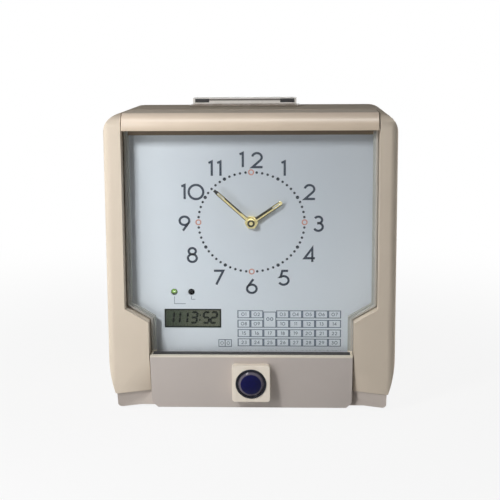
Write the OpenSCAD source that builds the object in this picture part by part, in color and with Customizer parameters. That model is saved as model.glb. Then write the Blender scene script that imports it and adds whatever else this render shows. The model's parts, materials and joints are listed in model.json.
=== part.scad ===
// Punch card time clock: a table or wall time recorder with an analogue dial behind a
// lift-up front cover, a card throat in its top and a card printer inside.
// Millimetres. +Z is up, the dial faces -Y, and the origin is on the ground below the middle.

/* [Casing] */
// Width over the two cheeks
case_w = 250; // [240:1:270]
// Height of the casing above its feet
case_h = 258.5; // [250:0.5:280]
// Depth from the cheeks' front to the rear rim
case_d = 150; // [140:1:180]
// Wall of the moulded shells
wall = 2.6; // [2:0.1:3.2]
// Radius of the top corners, seen from the front
corner_r = 18; // [12:1:24]
// Radius of the brow, seen from the side
brow_r = 13; // [9:0.5:14]
// Radius of the cheeks' front edges, seen from above
edge_r = 7; // [4:0.5:10]
// How far the sides tuck in at the bottom
side_tuck = 6; // [4:0.5:12]
// Height over which the sides tuck in
tuck_h = 35; // [25:1:45]
// Height of the plinth
plinth_h = 14; // [10:0.5:18]
// How far the chin leans back at the bottom
chin_back = 12; // [6:0.5:16]
// Height of the rubber feet below the casing
foot_h = 2.5; // [2:0.5:5]
// Diameter of the rubber feet
foot_d = 14; // [10:1:20]

/* [Front cover] */
// Width of each cheek beside the window
cheek_w = 15.5; // [14:0.5:18]
// Width of each cheek below the shoulders
cheek_low_w = 36; // [34:0.5:44]
// Height of the shoulders' lower corner
shoulder_h = 77.5; // [70:0.5:90]
// Rise of the shoulders' slope
shoulder_rise = 12; // [8:1:16]
// Height of the sill under the window
sill_h = 48.5; // [46:0.5:60]
// Height of the brow's face
brow_h = 15; // [14:0.5:20]
// Length of the brow from its front to its hinge
brow_len = 48; // [42:1:60]
// Running gap around the cover
cover_gap = 0.8; // [0.5:0.1:1.2]
// How far the cover stands proud of the cheeks
cover_proud = 1.5; // [0.5:0.1:3]
// Thickness of the cover's moulding
cover_t = 2.8; // [2:0.1:3.2]
// Width of the cover's side rails
rail_w = 4; // [3:0.5:6]
// Thickness of the clear window
window_t = 2.5; // [2:0.1:3.5]
// How far the window lies behind the cheeks' front
window_set = 12; // [9:0.5:13]
// Radius of the hinge bead
bead_r = 5; // [4.5:0.5:7]
// Diameter of the hinge pins
hinge_pin_d = 5; // [3:0.5:6]

/* [Cover catch] */
// Width of the square boss
boss_w = 33; // [31:0.5:40]
// Height of the square boss
boss_h = 33; // [31:0.5:36]
// How far the boss stands before the cheeks
boss_proud = 5; // [4:0.5:9]
// Downward tilt of the boss
boss_tilt = 5; // [0:0.5:8]
// Diameter of the push button
button_d = 22; // [18:0.5:24]
// Height of the button's dome
dome_h = 4; // [2:0.5:6]
// Width of the trim ring
ring_w = 2; // [1.5:0.1:2.5]
// Travel of the button
button_travel = 5; // [3:0.5:6]
// Diameter of the bolt behind the button
bolt_d = 6; // [4:0.5:8]

/* [Dial] */
// How far the dial lies behind the cheeks' front
dial_set = 25; // [24:0.5:30]
// Thickness of the dial plate
dial_t = 2; // [1.5:0.1:3]
// Height of the dial's centre above the casing's bottom
dial_h = 162; // [155:0.5:170]
// Length of the minute hand
minute_len = 43; // [36:0.5:46]
// Length of the hour hand
hour_len = 32.5; // [26:0.5:36]
// Time shown at rest: hours
rest_hour = 13; // [0:1:23]
// Time shown at rest: minutes
rest_minute = 52; // [0:1:59]
// Width of the display window
lcd_w = 50.5; // [40:0.5:54]
// Height of the display window
lcd_h = 17.2; // [14:0.2:20]
// Diameter of the indicator lamps
led_d = 5; // [3:0.5:5]

/* [Card path] */
// Width of the time card
card_w = 86; // [80:1:92]
// How far the card path lies to the left of the middle
card_left = 9; // [0:0.5:12]
// Clear gap of the card chute
chute_gap = 5; // [4.6:0.1:6]
// Distance of the chute's middle before the rear rim
chute_set = 35; // [33:0.5:38]
// Height of the throat above the casing
throat_h = 8; // [5:0.5:12]
// Diameter of the feed rollers
feed_d = 18; // [14:0.5:20]
// Diameter of the pinch rollers
pinch_d = 12; // [9:0.5:13]
// Height of the feed rollers above the casing's bottom
feed_h = 150; // [140:1:165]
// Height of the printing line above the casing's bottom
print_h = 102; // [98:1:108]

/* [Rear and mounting] */
// Spacing of the wall keyholes
keyhole_spacing = 160; // [150:1:176]
// Height of the keyholes above the casing's bottom
keyhole_h = 198; // [190:1:215]
// Diameter of the keyholes' round part
keyhole_d = 9; // [8:0.5:11]
// Bore of the mains lead's gland
gland_bore_d = 7.4; // [6:0.1:9]

/* [Hidden] */
$fn = 64;
eps = 0.5;
run_fit = 0.05;
part_gap = 0.3;

// Heights and depths that the driving sizes give
bottom_z = foot_h;
top_z = bottom_z + case_h;
body_z = bottom_z + plinth_h;
sill_z = bottom_z + sill_h;
shoulder_z = bottom_z + shoulder_h;
chin_lean = atan(chin_back / (sill_z - bottom_z));
lip_z = top_z - brow_h;
dial_z = bottom_z + dial_h;
overall_d = case_d + boss_proud + dome_h;
front_y = boss_proud + dome_h - overall_d / 2;
rear_y = front_y + case_d;
cover_y = front_y - cover_proud;
window_y = front_y + window_set;
rail_back_y = window_y + window_t + rail_w;
dial_y = front_y + dial_set;
low_half = case_w / 2 - side_tuck;
upper_half = case_w / 2 - cheek_w;
lower_half = case_w / 2 - cheek_low_w;
shoulder_slope = shoulder_rise / (upper_half - lower_half);

// Hinge of the front cover and the pocket that its bead turns in
hinge_y = front_y + brow_len;
hinge_z = top_z - bead_r;
pocket_z = hinge_z - bead_r - 4;
pocket_y = hinge_y + bead_r + cover_gap;
pin_reach = 10;

// Rear rim and panel
rear_r = 6;
rear_recess = 3;
rear_t = 2.5;
panel_y = rear_y - rear_recess - rear_t;
rear_screw_r = 1.75;
rear_boss_r = 4.5;
rear_boss_l = 14;
rear_screw_x = case_w / 2 - wall - rear_boss_r + eps;
rear_screw_zs = [body_z + 34, top_z - corner_r - 8];

// Base tray
tray_half = low_half - 1;
tray_r = 4;
ear_in = 1.2;
tray_floor = 3;
floor_z = bottom_z + tray_floor;
tray_front_y = cover_y + chin_back + cover_t / cos(chin_lean) + cover_gap;
tray_rear_y = panel_y - part_gap;
tower_half = 24;
foot_in = 22;
foot_sink = 1;

// Boss, button and strike, along the boss's own tilted axis
boss_z = bottom_z + 24.5;
boss_front = front_y - boss_proud;
barrel_r = 14.3;
spring_room = 9;
stem_shoulder = 2;
button_rim = 3;
barrel_l = button_rim + button_travel + spring_room + stem_shoulder;
bore_clear = 0.3;
bolt_clear = 1;
button_r = button_d / 2;
strike_t = 3;
strike_y = boss_front + barrel_l + 2;
bolt_l = strike_y - boss_front - bolt_clear;

// Hands, arbors and motion work
rest_minute_a = 6 * rest_minute;
rest_hour_a = 30 * (rest_hour % 12) + rest_minute / 2;
hand_t = 0.8;
bush_r = 4;
pipe_r = 2.6;
arbor_r = 1.5;
nut_r = 6;
nut_t = 2.4;
hour_y = dial_y - nut_t - 2;
minute_y = hour_y - hand_t - 1.2;
cap_r = 3.6;
cap_t = 1.4;
move_w = 56;
move_d = 17;
move_wall = 1.6;
move_y = dial_y + dial_t;
back_y = move_y + move_d;
cannon_teeth = 12;
minute_teeth = 36;
idler_teeth = 12;
hour_teeth = 48;
cannon_module = 0.6;
motion_centre = cannon_module * (cannon_teeth + minute_teeth) / 2;
idler_module = 2 * motion_centre / (idler_teeth + hour_teeth);
motion_face = 2.4;
hour_wheel_y = move_y + move_wall + 1;
cannon_y = hour_wheel_y + motion_face + 1.2;
stud_r = 1;

// Display board
lcd_x = 36.5 - lower_half;
lcd_z = dial_z - 86.1;
led_xs = [20.4 - lower_half, 35.6 - lower_half];
led_z = dial_z - 62.2;
led_clear = 0.4;
board_t = 1.6;
board_y = dial_y + dial_t + 8;
lcd_recess = 0.8;

// Card chute, rollers and printer
chute_y = rear_y - chute_set;
chute_t = 1.5;
chute_half = card_w / 2 + 3;
side_t = 2;
chute_low_z = bottom_z + 60;
chute_top_z = top_z - wall - 6;
mech_half = chute_half + 11;
mech_t = 1.5;
mech_front_y = chute_y - 66;
mech_rear_y = chute_y + 24;
mech_top_z = bottom_z + 205;
shaft_r = 3;
card_t = 0.3;
feed_z = bottom_z + feed_h;
feed_y = chute_y + feed_d / 2 + card_t / 2;
pinch_y = chute_y - pinch_d / 2 - card_t / 2;
roller_w = 12;
roller_xs = [-24, 24];
window_clear = 2;
gear_module = 0.7;
pinion_teeth = 12;
gear_teeth = 30;
gear_face = 5;
gear_x = chute_half + 3;
motor_drop = gear_module * (pinion_teeth + gear_teeth) / 2;
motor_r = 16;
motor_l = 22;
motor_shaft_r = 1.5;
print_z = bottom_z + print_h;
rail_r = 3;
rail_ys = [chute_y - 26, chute_y - 50];
rail_z = print_z - 14;
carriage_half = 16;
carriage_travel = 30;
head_w = 18;
nose_half = 4;
nose_h = 9;
ribbon_t = 0.4;
ribbon_h = 12;
ribbon_y = chute_y - chute_gap / 2 - chute_t - 1.6;
pulley_r = 5;
pulley_w = 6;
pulley_x = mech_half - 9;
belt_t = 1;
belt_y = (rail_ys[0] + rail_ys[1]) / 2;
belt_clear = 0.15;
carriage_t = 12;
clamp_h = 2;
belt_z = rail_z - carriage_t / 2 - clamp_h - pulley_r - belt_clear - belt_t;
pulley_axle_r = 1.5;

// Shared shapes

function arc(c, r, a0, a1, n) =
  [for (i = [0:n]) let (a = a0 + (a1 - a0) * i / n) [c[0] + r * cos(a), c[1] + r * sin(a)]];

function mirrored(pts) = [for (i = [len(pts) - 1:-1:0]) [-pts[i][0], pts[i][1]]];

function both_sides(pts) = concat(pts, mirrored(pts));

// Extrudes an (x, z) outline from y0 to y1
module along_y(y0, y1) translate([0, y1, 0]) rotate([90, 0, 0]) linear_extrude(y1 - y0) children();

// Extrudes a (y, z) outline from x0 to x1
module along_x(x0, x1) translate([x0, 0, 0]) rotate([90, 0, 90]) linear_extrude(x1 - x0) children();

module rod_x(x0, x1, y, z, r) translate([x0, y, z]) rotate([0, 90, 0]) cylinder(h = x1 - x0, r = r);

module rod_y(y0, y1, x, z, r) translate([x, y1, z]) rotate([90, 0, 0]) cylinder(h = y1 - y0, r = r);

module rod_z(z0, z1, x, y, r) translate([x, y, z0]) cylinder(h = z1 - z0, r = r);

module block(lo, hi) translate(lo) cube(hi - lo);

module both() {
  children();
  mirror([1, 0, 0]) children();
}

// The card path and its mechanism lie to the left of the middle
module at_card() translate([-card_left, 0, 0]) children();

// Outline of a spur gear with involute flanks and thinned teeth; one tooth points along +x
function involute(base, t) = let (a = t * 180 / PI)
  [base * (cos(a) + t * sin(a)), base * (sin(a) - t * cos(a))];
function turned(p, a) = [p[0] * cos(a) - p[1] * sin(a), p[0] * sin(a) + p[1] * cos(a)];
function roll_at(base, r) = r <= base ? 0 : sqrt(pow(r / base, 2) - 1);

module gear_outline(m, n, thin = 0.8) {
  pitch = m * n / 2;
  base = pitch * cos(20);
  tip = pitch + 0.8 * m;
  root = pitch - 1.15 * m;
  t_pitch = roll_at(base, pitch);
  half = 90 / n * thin + t_pitch * 180 / PI - atan(t_pitch);
  steps = 4;
  start = max(base, root);
  flank = [for (i = [0:steps]) let (r = start + (tip - start) * i / steps)
    turned(involute(base, roll_at(base, r)), -half)];
  foot = [root * cos(half), -root * sin(half)];
  tooth = concat([foot], flank, [for (i = [steps:-1:0]) [flank[i][0], -flank[i][1]]],
    [[foot[0], -foot[1]]]);
  polygon([for (k = [0:n - 1]) for (p = tooth) turned(p, k * 360 / n)]);
}

// Casing

// Right half of the casing's outline from the front, from the bottom up
function body_right(inset, z_low) = let (
    tuck_r = (tuck_h * tuck_h + side_tuck * side_tuck) / (2 * side_tuck),
    low_a = -asin(tuck_h / tuck_r),
    low = arc([case_w / 2 - tuck_r, body_z + tuck_h], tuck_r - inset, low_a, 0, 8),
    top = arc([case_w / 2 - corner_r, top_z - corner_r], corner_r - inset, 0, 90, 8))
  concat(z_low < low[0][1] - 0.01 ? [[low[0][0], z_low]] : [], low, top);

module body_outline(inset, z_low) polygon(both_sides(body_right(inset, z_low)));

module side_outline(inset, z_low, y_back) polygon(concat(
  [[front_y + inset, z_low], [y_back, z_low]],
  arc([y_back - rear_r, top_z - inset - rear_r], rear_r, 0, 90, 4),
  arc([front_y + brow_r, top_z - brow_r], brow_r - inset, 90, 180, 8)));

module plan_outline(inset, y_back) polygon(both_sides(concat(
  [[case_w / 2 - inset, y_back]],
  arc([case_w / 2 - edge_r, front_y + edge_r], edge_r - inset, 0, -90, 6))));

crease_in = 1.5;

// The wedge that is taken off the lower front corner below the slanting crease
module crease_cut(inset) {
  drop = sill_z - body_z;
  along = low_half - crease_in - lower_half;
  n = [drop * chin_back, along * drop, along * chin_back];
  unit = n / norm(n);
  turn_axis = cross([0, 1, 0], unit);
  reach = 2 * case_h;
  both() intersection() {
    translate([lower_half, front_y, sill_z] + inset * unit) rotate(a = acos(unit[1]), v = turn_axis)
      translate([-reach, -reach, -reach]) cube([2 * reach, reach, 2 * reach]);
    block([lower_half - eps, front_y - 1, 0], [case_w, rear_y, top_z]);
  }
}

module case_solid(inset, z_low, y_back) difference() {
  intersection() {
    along_y(front_y - eps, y_back + eps) body_outline(inset, z_low);
    along_x(-case_w, case_w) side_outline(inset, z_low, y_back);
    translate([0, 0, z_low - 1]) linear_extrude(top_z) plan_outline(inset, y_back);
  }
  crease_cut(inset);
}

// Outline of the cover's opening, drawn in by inset
function door_pts(inset, z_low, z_high) = let (
    a = upper_half - inset,
    b = lower_half - inset,
    lift = shoulder_z + inset * sqrt(1 + shoulder_slope * shoulder_slope),
    zb = lift + (b - lower_half) * shoulder_slope,
    za = lift + (a - lower_half) * shoulder_slope)
  both_sides([[b, z_low], [b, zb], [a, za], [a, z_high]]);

module rear_bosses() both() for (z = rear_screw_zs)
  rod_y(panel_y - rear_boss_l, panel_y, rear_screw_x, z, rear_boss_r);

dial_boss_r = 3.5;
dial_boss_x = (upper_half + wall + case_w / 2 - wall) / 2;
dial_boss_zs = [shoulder_z + shoulder_rise + 22, top_z - corner_r - 12];
dial_screw_r = 1.25;

module dial_bosses() both() for (z = dial_boss_zs)
  rod_y(front_y + wall - eps, dial_y, dial_boss_x, z, dial_boss_r);

throat_half = card_w / 2 + 5;
throat_d = chute_gap + 9;
throat_flange = 3;
throat_wall = 2;

module main_case() color("tan") difference() {
  union() {
    difference() {
      case_solid(0, body_z, rear_y);
      case_solid(wall, body_z - 1, rear_y + 10);
    }
    intersection() {
      case_solid(0, body_z, rear_y);
      union() {
        along_y(front_y - eps, dial_y) polygon(door_pts(-wall, body_z - 1, top_z + 1));
        block([-upper_half - wall, dial_y - eps, pocket_z - wall],
          [upper_half + wall, pocket_y + wall, top_z + 1]);
        rear_bosses();
        dial_bosses();
      }
    }
  }
  along_y(front_y - 1, dial_y + eps) polygon(door_pts(0, body_z - 2, pocket_z - wall));
  along_y(front_y - 1, dial_y) polygon(door_pts(0, body_z - 2, top_z + 2));
  block([-upper_half, dial_y - 1, pocket_z], [upper_half, pocket_y, top_z + 2]);
  both() rod_x(upper_half - 1, upper_half + wall + 1, hinge_y, hinge_z, hinge_pin_d / 2 + run_fit);
  both() for (z = rear_screw_zs) rod_y(panel_y - rear_boss_l + 2, rear_y, rear_screw_x, z, rear_screw_r);
  both() for (z = dial_boss_zs) rod_y(dial_y - 14, dial_y + 1, dial_boss_x, z, dial_screw_r);
  at_card() throat_hollow(part_gap, top_z - 2 * wall, top_z + 2);
}

vent_w = 4;
vent_h = 46;
vent_pitch = 9;
vent_count = 9;
vent_z = body_z + 30;
gland_x = 33 - low_half;
gland_z = body_z + 16;
gland_hole_r = gland_bore_d / 2 + 2.6;
keyhole_slot_r = keyhole_d / 4;
keyhole_slot_l = 8;

module rear_panel() color("tan") difference() {
  along_y(panel_y, panel_y + rear_t) intersection() {
    body_outline(wall + part_gap, body_z + part_gap);
    translate([-case_w, body_z]) square([2 * case_w, top_z - body_z - wall - part_gap]);
  }
  both() for (z = rear_screw_zs)
    rod_y(panel_y - 1, panel_y + rear_t + 1, rear_screw_x, z, rear_screw_r + 0.25);
  for (i = [0:vent_count - 1]) let (x = (i - (vent_count - 1) / 2) * vent_pitch)
    block([x - vent_w / 2, panel_y - 1, vent_z], [x + vent_w / 2, rear_y, vent_z + vent_h]);
  both() {
    rod_y(panel_y - 1, rear_y, keyhole_spacing / 2, bottom_z + keyhole_h, keyhole_d / 2);
    block([keyhole_spacing / 2 - keyhole_slot_r, panel_y - 1, bottom_z + keyhole_h],
      [keyhole_spacing / 2 + keyhole_slot_r, rear_y, bottom_z + keyhole_h + keyhole_slot_l]);
    rod_y(panel_y - 1, rear_y, keyhole_spacing / 2, bottom_z + keyhole_h + keyhole_slot_l, keyhole_slot_r);
  }
  rod_y(panel_y - 1, rear_y, gland_x, gland_z, gland_hole_r + part_gap / 2);
}

module rear_screws() color("silver") both() for (z = rear_screw_zs) {
  rod_y(panel_y - rear_boss_l + 4, panel_y + rear_t, rear_screw_x, z, rear_screw_r - run_fit);
  difference() {
    rod_y(panel_y + rear_t, panel_y + rear_t + 2, rear_screw_x, z, rear_screw_r * 2);
    for (a = [0, 90]) translate([rear_screw_x, panel_y + rear_t + 2, z]) rotate([0, a, 0])
      cube([4, 2, 0.8], center = true);
  }
}

// A flanged rubber gland for the mains lead, with its bore open right through
gland_flange = 2;
gland_inside = 8;

module mains_gland() color("dimgray") difference() {
  union() {
    rod_y(panel_y - gland_inside, panel_y + rear_t + gland_flange, gland_x, gland_z, gland_hole_r);
    rod_y(panel_y + rear_t, panel_y + rear_t + gland_flange, gland_x, gland_z, gland_hole_r + 2.5);
  }
  rod_y(panel_y - gland_inside - 1, rear_y + 1, gland_x, gland_z, gland_bore_d / 2);
}

// Base tray

lip_up = 6;
foot_xs = [-(tray_half - foot_in), tray_half - foot_in];
foot_ys = [tray_front_y + foot_in, tray_rear_y - foot_in];

module tray_ring(inset, z0, z1) block([-tray_half + inset, tray_front_y + inset, z0],
  [tray_half - inset, tray_rear_y - inset, z1]);

// The plinth from the front, with its two lower corners rounded
module tray_outline() polygon(both_sides(concat(
  arc([tray_half - tray_r, bottom_z + tray_r], tray_r, -90, 0, 4), [[tray_half, body_z]])));

// Front corners of the plinth, flush below the cheeks' slanting facets
module plinth_ears() both() intersection() {
  case_solid(ear_in, bottom_z, rear_y);
  along_y(front_y, tray_front_y + wall) tray_outline();
  block([lower_half + cover_gap, front_y, bottom_z], [case_w, tray_front_y + wall, body_z]);
}

module base_tray() color("tan") difference() {
  union() {
    difference() {
      along_y(tray_front_y, tray_rear_y) tray_outline();
      tray_ring(wall, floor_z, body_z + 1);
    }
    plinth_ears();
    difference() {
      tray_ring(wall, floor_z - eps, body_z + lip_up);
      tray_ring(2 * wall, floor_z - 1, body_z + lip_up + 1);
      block([-case_w, tray_front_y - 1, body_z - eps], [case_w, dial_y + 6, top_z]);
      block([-case_w, tray_rear_y - 20, body_z - eps], [case_w, rear_y, top_z]);
    }
    block([-tower_half, strike_y + strike_t, floor_z - eps],
      [tower_half, strike_y + strike_t + wall, boss_z + 16]);
  }
  for (x = foot_xs, y = foot_ys) rod_z(bottom_z - 1, bottom_z + foot_sink, x, y, foot_d / 2);
  block([-tower_half, tray_front_y - 1, floor_z], [tower_half, strike_y + strike_t, body_z + 1]);
  on_boss_axis() rod_y(0, 60, 0, 0, bolt_d / 2 + 2.5);
}

module rubber_feet() color("black") for (x = foot_xs, y = foot_ys)
  rod_z(0, bottom_z + foot_sink, x, y, foot_d / 2);

// Front cover

// The lower panel's front, as a plane that leans back below the sill; back moves it rearwards
module behind_chin(back) translate([0, cover_y + back / cos(chin_lean), sill_z]) rotate([chin_lean, 0, 0])
  translate([-case_w, 0, -2 * sill_z]) cube([2 * case_w, 200, 4 * sill_z]);

sill_t = 2.6;
cover_corner = 5;
chin_drop = 1.5;
chin_z = bottom_z - chin_drop;

module brow_section() {
  difference() {
    polygon(concat(
      [[cover_y, lip_z], [rail_back_y, lip_z], [rail_back_y, top_z - cover_t],
        [hinge_y, top_z - cover_t], [hinge_y, top_z]],
      arc([cover_y + brow_r, top_z - brow_r], brow_r, 90, 180, 10)));
    intersection() {
      polygon(concat(
        [[cover_y + cover_t, lip_z - 1], [rail_back_y - cover_t, lip_z - 1],
          [rail_back_y - cover_t, top_z - cover_t]],
        arc([cover_y + brow_r, top_z - brow_r], brow_r - cover_t, 90, 180, 10)));
      translate([cover_y, lip_z + cover_t]) square([brow_len, brow_h]);
    }
  }
  translate([hinge_y, hinge_z]) circle(bead_r);
}

// Panel outline from the front, with its two lower corners cut off
module chin_outline() let (h = lower_half - cover_gap) polygon(both_sides(
  [[h - cover_corner, chin_z], [h, chin_z + cover_corner], [h, sill_z]]));

module chin_panel() intersection() {
  along_y(cover_y - eps, tray_front_y + 30) chin_outline();
  difference() {
    union() {
      difference() {
        behind_chin(0);
        behind_chin(cover_t);
      }
      intersection() {
        behind_chin(0);
        block([-case_w, cover_y, sill_z - sill_t], [case_w, window_y + window_t, sill_z]);
      }
    }
    on_boss_axis() rod_y(-20, 40, 0, 0, barrel_r + part_gap / 2);
  }
}

module cover_frame() color("tan") difference() {
  union() {
    along_x(-upper_half + cover_gap, upper_half - cover_gap) brow_section();
    chin_panel();
    difference() {
      along_y(window_y, rail_back_y) difference() {
        polygon(door_pts(cover_gap, sill_z - sill_t, lip_z + cover_t));
        polygon(door_pts(cover_gap + rail_w, sill_z - sill_t - 1, lip_z + cover_t + 1));
      }
      along_y(window_y - 1, window_y + window_t) polygon(door_pts(cover_gap + rail_w / 2, sill_z, lip_z));
    }
  }
  both() rod_x(upper_half - cover_gap - pin_reach, upper_half, hinge_y, hinge_z, hinge_pin_d / 2 + run_fit);
}

window_lift = 1.6;
lug_x = 33;
lug_w = 3;

// Clear window, standing on two small lugs above the sill
module cover_window() color("lightcyan", 0.4) {
  along_y(window_y, window_y + window_t)
    polygon(door_pts(cover_gap + rail_w / 2 + run_fit, sill_z + window_lift, lip_z));
  both() block([lug_x - lug_w / 2, window_y, sill_z],
    [lug_x + lug_w / 2, window_y + window_t, sill_z + window_lift]);
}

module hinge_pins() color("silver") both()
  rod_x(upper_half - cover_gap - pin_reach + 1, upper_half + wall, hinge_y, hinge_z, hinge_pin_d / 2);

// Cover catch, drawn along +y from the boss's face and then tilted

module on_boss_axis() translate([0, boss_front, boss_z]) rotate([boss_tilt, 0, 0]) children();

boss_r = 2.5;
ring_depth = 3;
ring_r = button_r + bore_clear + ring_w;

module rounded_square(w, h, r) {
  square([w - 2 * r, h], center = true);
  square([w, h - 2 * r], center = true);
  for (x = [-1, 1], y = [-1, 1]) translate([x * (w / 2 - r), y * (h / 2 - r)]) circle(r);
}

module catch_boss() color("wheat") difference() {
  union() {
    difference() {
      on_boss_axis() along_y(0, 30) rounded_square(boss_w, boss_h, boss_r);
      behind_chin(0);
    }
    on_boss_axis() rod_y(2, barrel_l, 0, 0, barrel_r);
  }
  on_boss_axis() {
    rod_y(-1, ring_depth, 0, 0, ring_r + run_fit);
    rod_y(-1, barrel_l - stem_shoulder, 0, 0, button_r + bore_clear);
    rod_y(-1, barrel_l + 1, 0, 0, bolt_d / 2 + bore_clear);
  }
}

module catch_ring() color("gray") on_boss_axis() difference() {
  rod_y(-0.8, ring_depth, 0, 0, ring_r);
  rod_y(-2, ring_depth + 1, 0, 0, button_r + bore_clear);
}

// Domed button with its bolt behind it
module catch_button() color("midnightblue") on_boss_axis() {
  dome_r = (button_r * button_r + dome_h * dome_h) / (2 * dome_h);
  rotate([90, 0, 0]) rotate_extrude() polygon(concat(
    [[0, -bolt_l], [bolt_d / 2, -bolt_l], [bolt_d / 2, -button_rim], [button_r, -button_rim]],
    [for (p = arc([0, dome_h - dome_r], dome_r, asin((dome_r - dome_h) / dome_r), 90, 8)) p]));
}

spring_wire = 0.9;
spring_turns = 5;
spring_sides = 6;
spring_steps = 10;
spring_mean_r = bolt_d / 2 + 2.4;
spring_y0 = button_rim + button_travel + spring_wire / 2 + part_gap;
spring_y1 = barrel_l - stem_shoulder - spring_wire / 2 - part_gap;

// Return spring around the bolt at its pressed length, swept ring by ring along its helix
module catch_spring() color("silver") on_boss_axis() {
  rings = spring_turns * spring_steps;
  pts = [for (i = [0:rings]) for (k = [0:spring_sides - 1]) let (
      a = 360 * i / spring_steps,
      b = 360 * k / spring_sides,
      r = spring_mean_r + spring_wire / 2 * cos(b),
      y = spring_y0 + (spring_y1 - spring_y0) * i / rings + spring_wire / 2 * sin(b))
    [r * cos(a), y, r * sin(a)]];
  tube = [for (i = [0:rings - 1]) for (k = [0:spring_sides - 1]) let (
      p = i * spring_sides + k,
      q = i * spring_sides + (k + 1) % spring_sides) for (t = [[p, q, q + spring_sides],
      [p, q + spring_sides, p + spring_sides]]) t];
  last = rings * spring_sides;
  polyhedron(pts, concat(tube, [[for (k = [spring_sides - 1:-1:0]) k]],
    [[for (k = [0:spring_sides - 1]) last + k]]));
}

module strike_plate() color("silver") difference() {
  block([-tower_half + 2, strike_y, floor_z], [tower_half - 2, strike_y + strike_t, boss_z + 14]);
  on_boss_axis() rod_y(0, 60, 0, 0, bolt_d / 2 + 1);
}

// Card throat

module throat_hollow(grow, z0, z1) block([-throat_half - grow, chute_y - throat_d / 2 - grow, z0],
  [throat_half + grow, chute_y + throat_d / 2 + grow, z1]);

module card_throat() color("whitesmoke") at_card() difference() {
  union() {
    throat_hollow(throat_flange, top_z, top_z + 1.8);
    throat_hollow(0, chute_top_z, top_z + throat_h);
  }
  block([-card_w / 2 - 2, chute_y - chute_gap / 2, chute_top_z - 1],
    [card_w / 2 + 2, chute_y + chute_gap / 2, top_z + throat_h + 1]);
  along_x(-card_w / 2 - 2, card_w / 2 + 2) polygon([
    [chute_y - chute_gap / 2, top_z - 2], [chute_y + chute_gap / 2, top_z - 2],
    [chute_y + throat_d / 2 - throat_wall, top_z + throat_h + 1],
    [chute_y - throat_d / 2 + throat_wall, top_z + throat_h + 1]]);
}

pad_w = 13;
pad_h = 3.4;
pad_t = 0.8;

// Two dark pads on the throat's front
module throat_pads() color("black") at_card() both() block(
  [throat_half - pad_w - 2, chute_y - throat_d / 2 - pad_t, top_z + throat_h - pad_h - 0.8],
  [throat_half - 2, chute_y - throat_d / 2, top_z + throat_h - 0.8]);

// Dial and hands

dial_low_z = sill_z - 14;
ear_half = case_w / 2 - wall - 1;
ear_h = 9;

module dial_plate() color("lightsteelblue") difference() {
  along_y(dial_y, dial_y + dial_t) {
    polygon(door_pts(-wall, dial_low_z, pocket_z - wall - part_gap));
    for (z = dial_boss_zs) translate([-ear_half, z - ear_h / 2]) square([2 * ear_half, ear_h]);
  }
  both() for (z = dial_boss_zs)
    rod_y(dial_y - 1, dial_y + dial_t + 1, dial_boss_x, z, dial_screw_r + 0.25);
  rod_y(dial_y - 1, dial_y + dial_t + 1, 0, dial_z, bush_r + run_fit);
  block([lcd_x - lcd_w / 2, dial_y - 1, lcd_z - lcd_h / 2],
    [lcd_x + lcd_w / 2, dial_y + dial_t + 1, lcd_z + lcd_h / 2]);
  for (x = led_xs) rod_y(dial_y - 1, dial_y + dial_t + 1, x, led_z, led_d / 2 + led_clear);
}

module dial_screws() color("silver") both() for (z = dial_boss_zs) {
  rod_y(dial_y - 10, dial_y + dial_t, dial_boss_x, z, dial_screw_r - run_fit);
  rod_y(dial_y + dial_t, dial_y + dial_t + 1.8, dial_boss_x, z, dial_screw_r * 2);
}

// A skeleton baton hand that points up before it is turned
module hand(y, angle, length, width, bore_r, boss_r, slot_l) translate([0, 0, dial_z]) rotate([0, angle, 0])
  along_y(y, y + hand_t) difference() {
    union() {
      circle(boss_r);
      translate([-width / 2, 0]) square([width, length - width / 2]);
      translate([0, length - width / 2]) circle(width / 2);
    }
    circle(bore_r);
    translate([-width / 5, length - width - slot_l]) square([width * 2 / 5, slot_l]);
  }

module minute_hand() color("gold") hand(minute_y, rest_minute_a, minute_len, 2.4, arbor_r, 4, 9);

module hour_hand() color("gold") hand(hour_y, rest_hour_a, hour_len, 3, pipe_r, 4.6, 7);

module hand_cap() color("goldenrod") translate([0, minute_y, dial_z]) rotate([90, 0, 0])
  rotate_extrude() polygon([[0, 0], [cap_r, 0], [cap_r, cap_t * 0.5], [cap_r * 0.7, cap_t], [0, cap_t]]);

module movement_nut() color("goldenrod") difference() {
  translate([0, dial_y, dial_z]) rotate([90, 0, 0]) cylinder(h = nut_t, r = nut_r, $fn = 6);
  rod_y(dial_y - nut_t - 1, dial_y + 1, 0, dial_z, bush_r);
}

// Quartz movement: case with its threaded bush, back, and the motion work between the hands

module movement_case() color("dimgray") difference() {
  union() {
    translate([0, move_y + move_d - 2, dial_z]) rotate([90, 0, 0])
      linear_extrude(move_d - 2) rounded_square(move_w, move_w, 3);
    rod_y(dial_y - nut_t, move_y + eps, 0, dial_z, bush_r);
    rod_y(hour_wheel_y - 0.7, hour_wheel_y, 0, dial_z + motion_centre, 2.2);
  }
  difference() {
    along_y(move_y + move_wall, move_y + move_d) translate([0, dial_z])
      rounded_square(move_w - 2 * move_wall, move_w - 2 * move_wall, 2);
    rod_y(move_y, hour_wheel_y - 0.3, 0, dial_z + motion_centre, 2.2);
    rod_y(move_y, cannon_y + motion_face + 0.8, 0, dial_z + motion_centre, stud_r);
  }
  rod_y(dial_y - nut_t - 1, hour_wheel_y, 0, dial_z, pipe_r + run_fit);
}

module movement_back() color("dimgray") difference() {
  translate([0, back_y, dial_z]) rotate([90, 0, 0]) linear_extrude(2) rounded_square(move_w, move_w, 3);
  rod_y(back_y - 3, back_y - 1, 0, dial_z, arbor_r + run_fit);
}

// Meshing phase: a tooth of the upper gear stands in a gap of the lower one
module motion_gear(y, z, m, n, turn) translate([0, y + motion_face, z]) rotate([90, 0, 0])
  linear_extrude(motion_face) rotate(turn) gear_outline(m, n);

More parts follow.
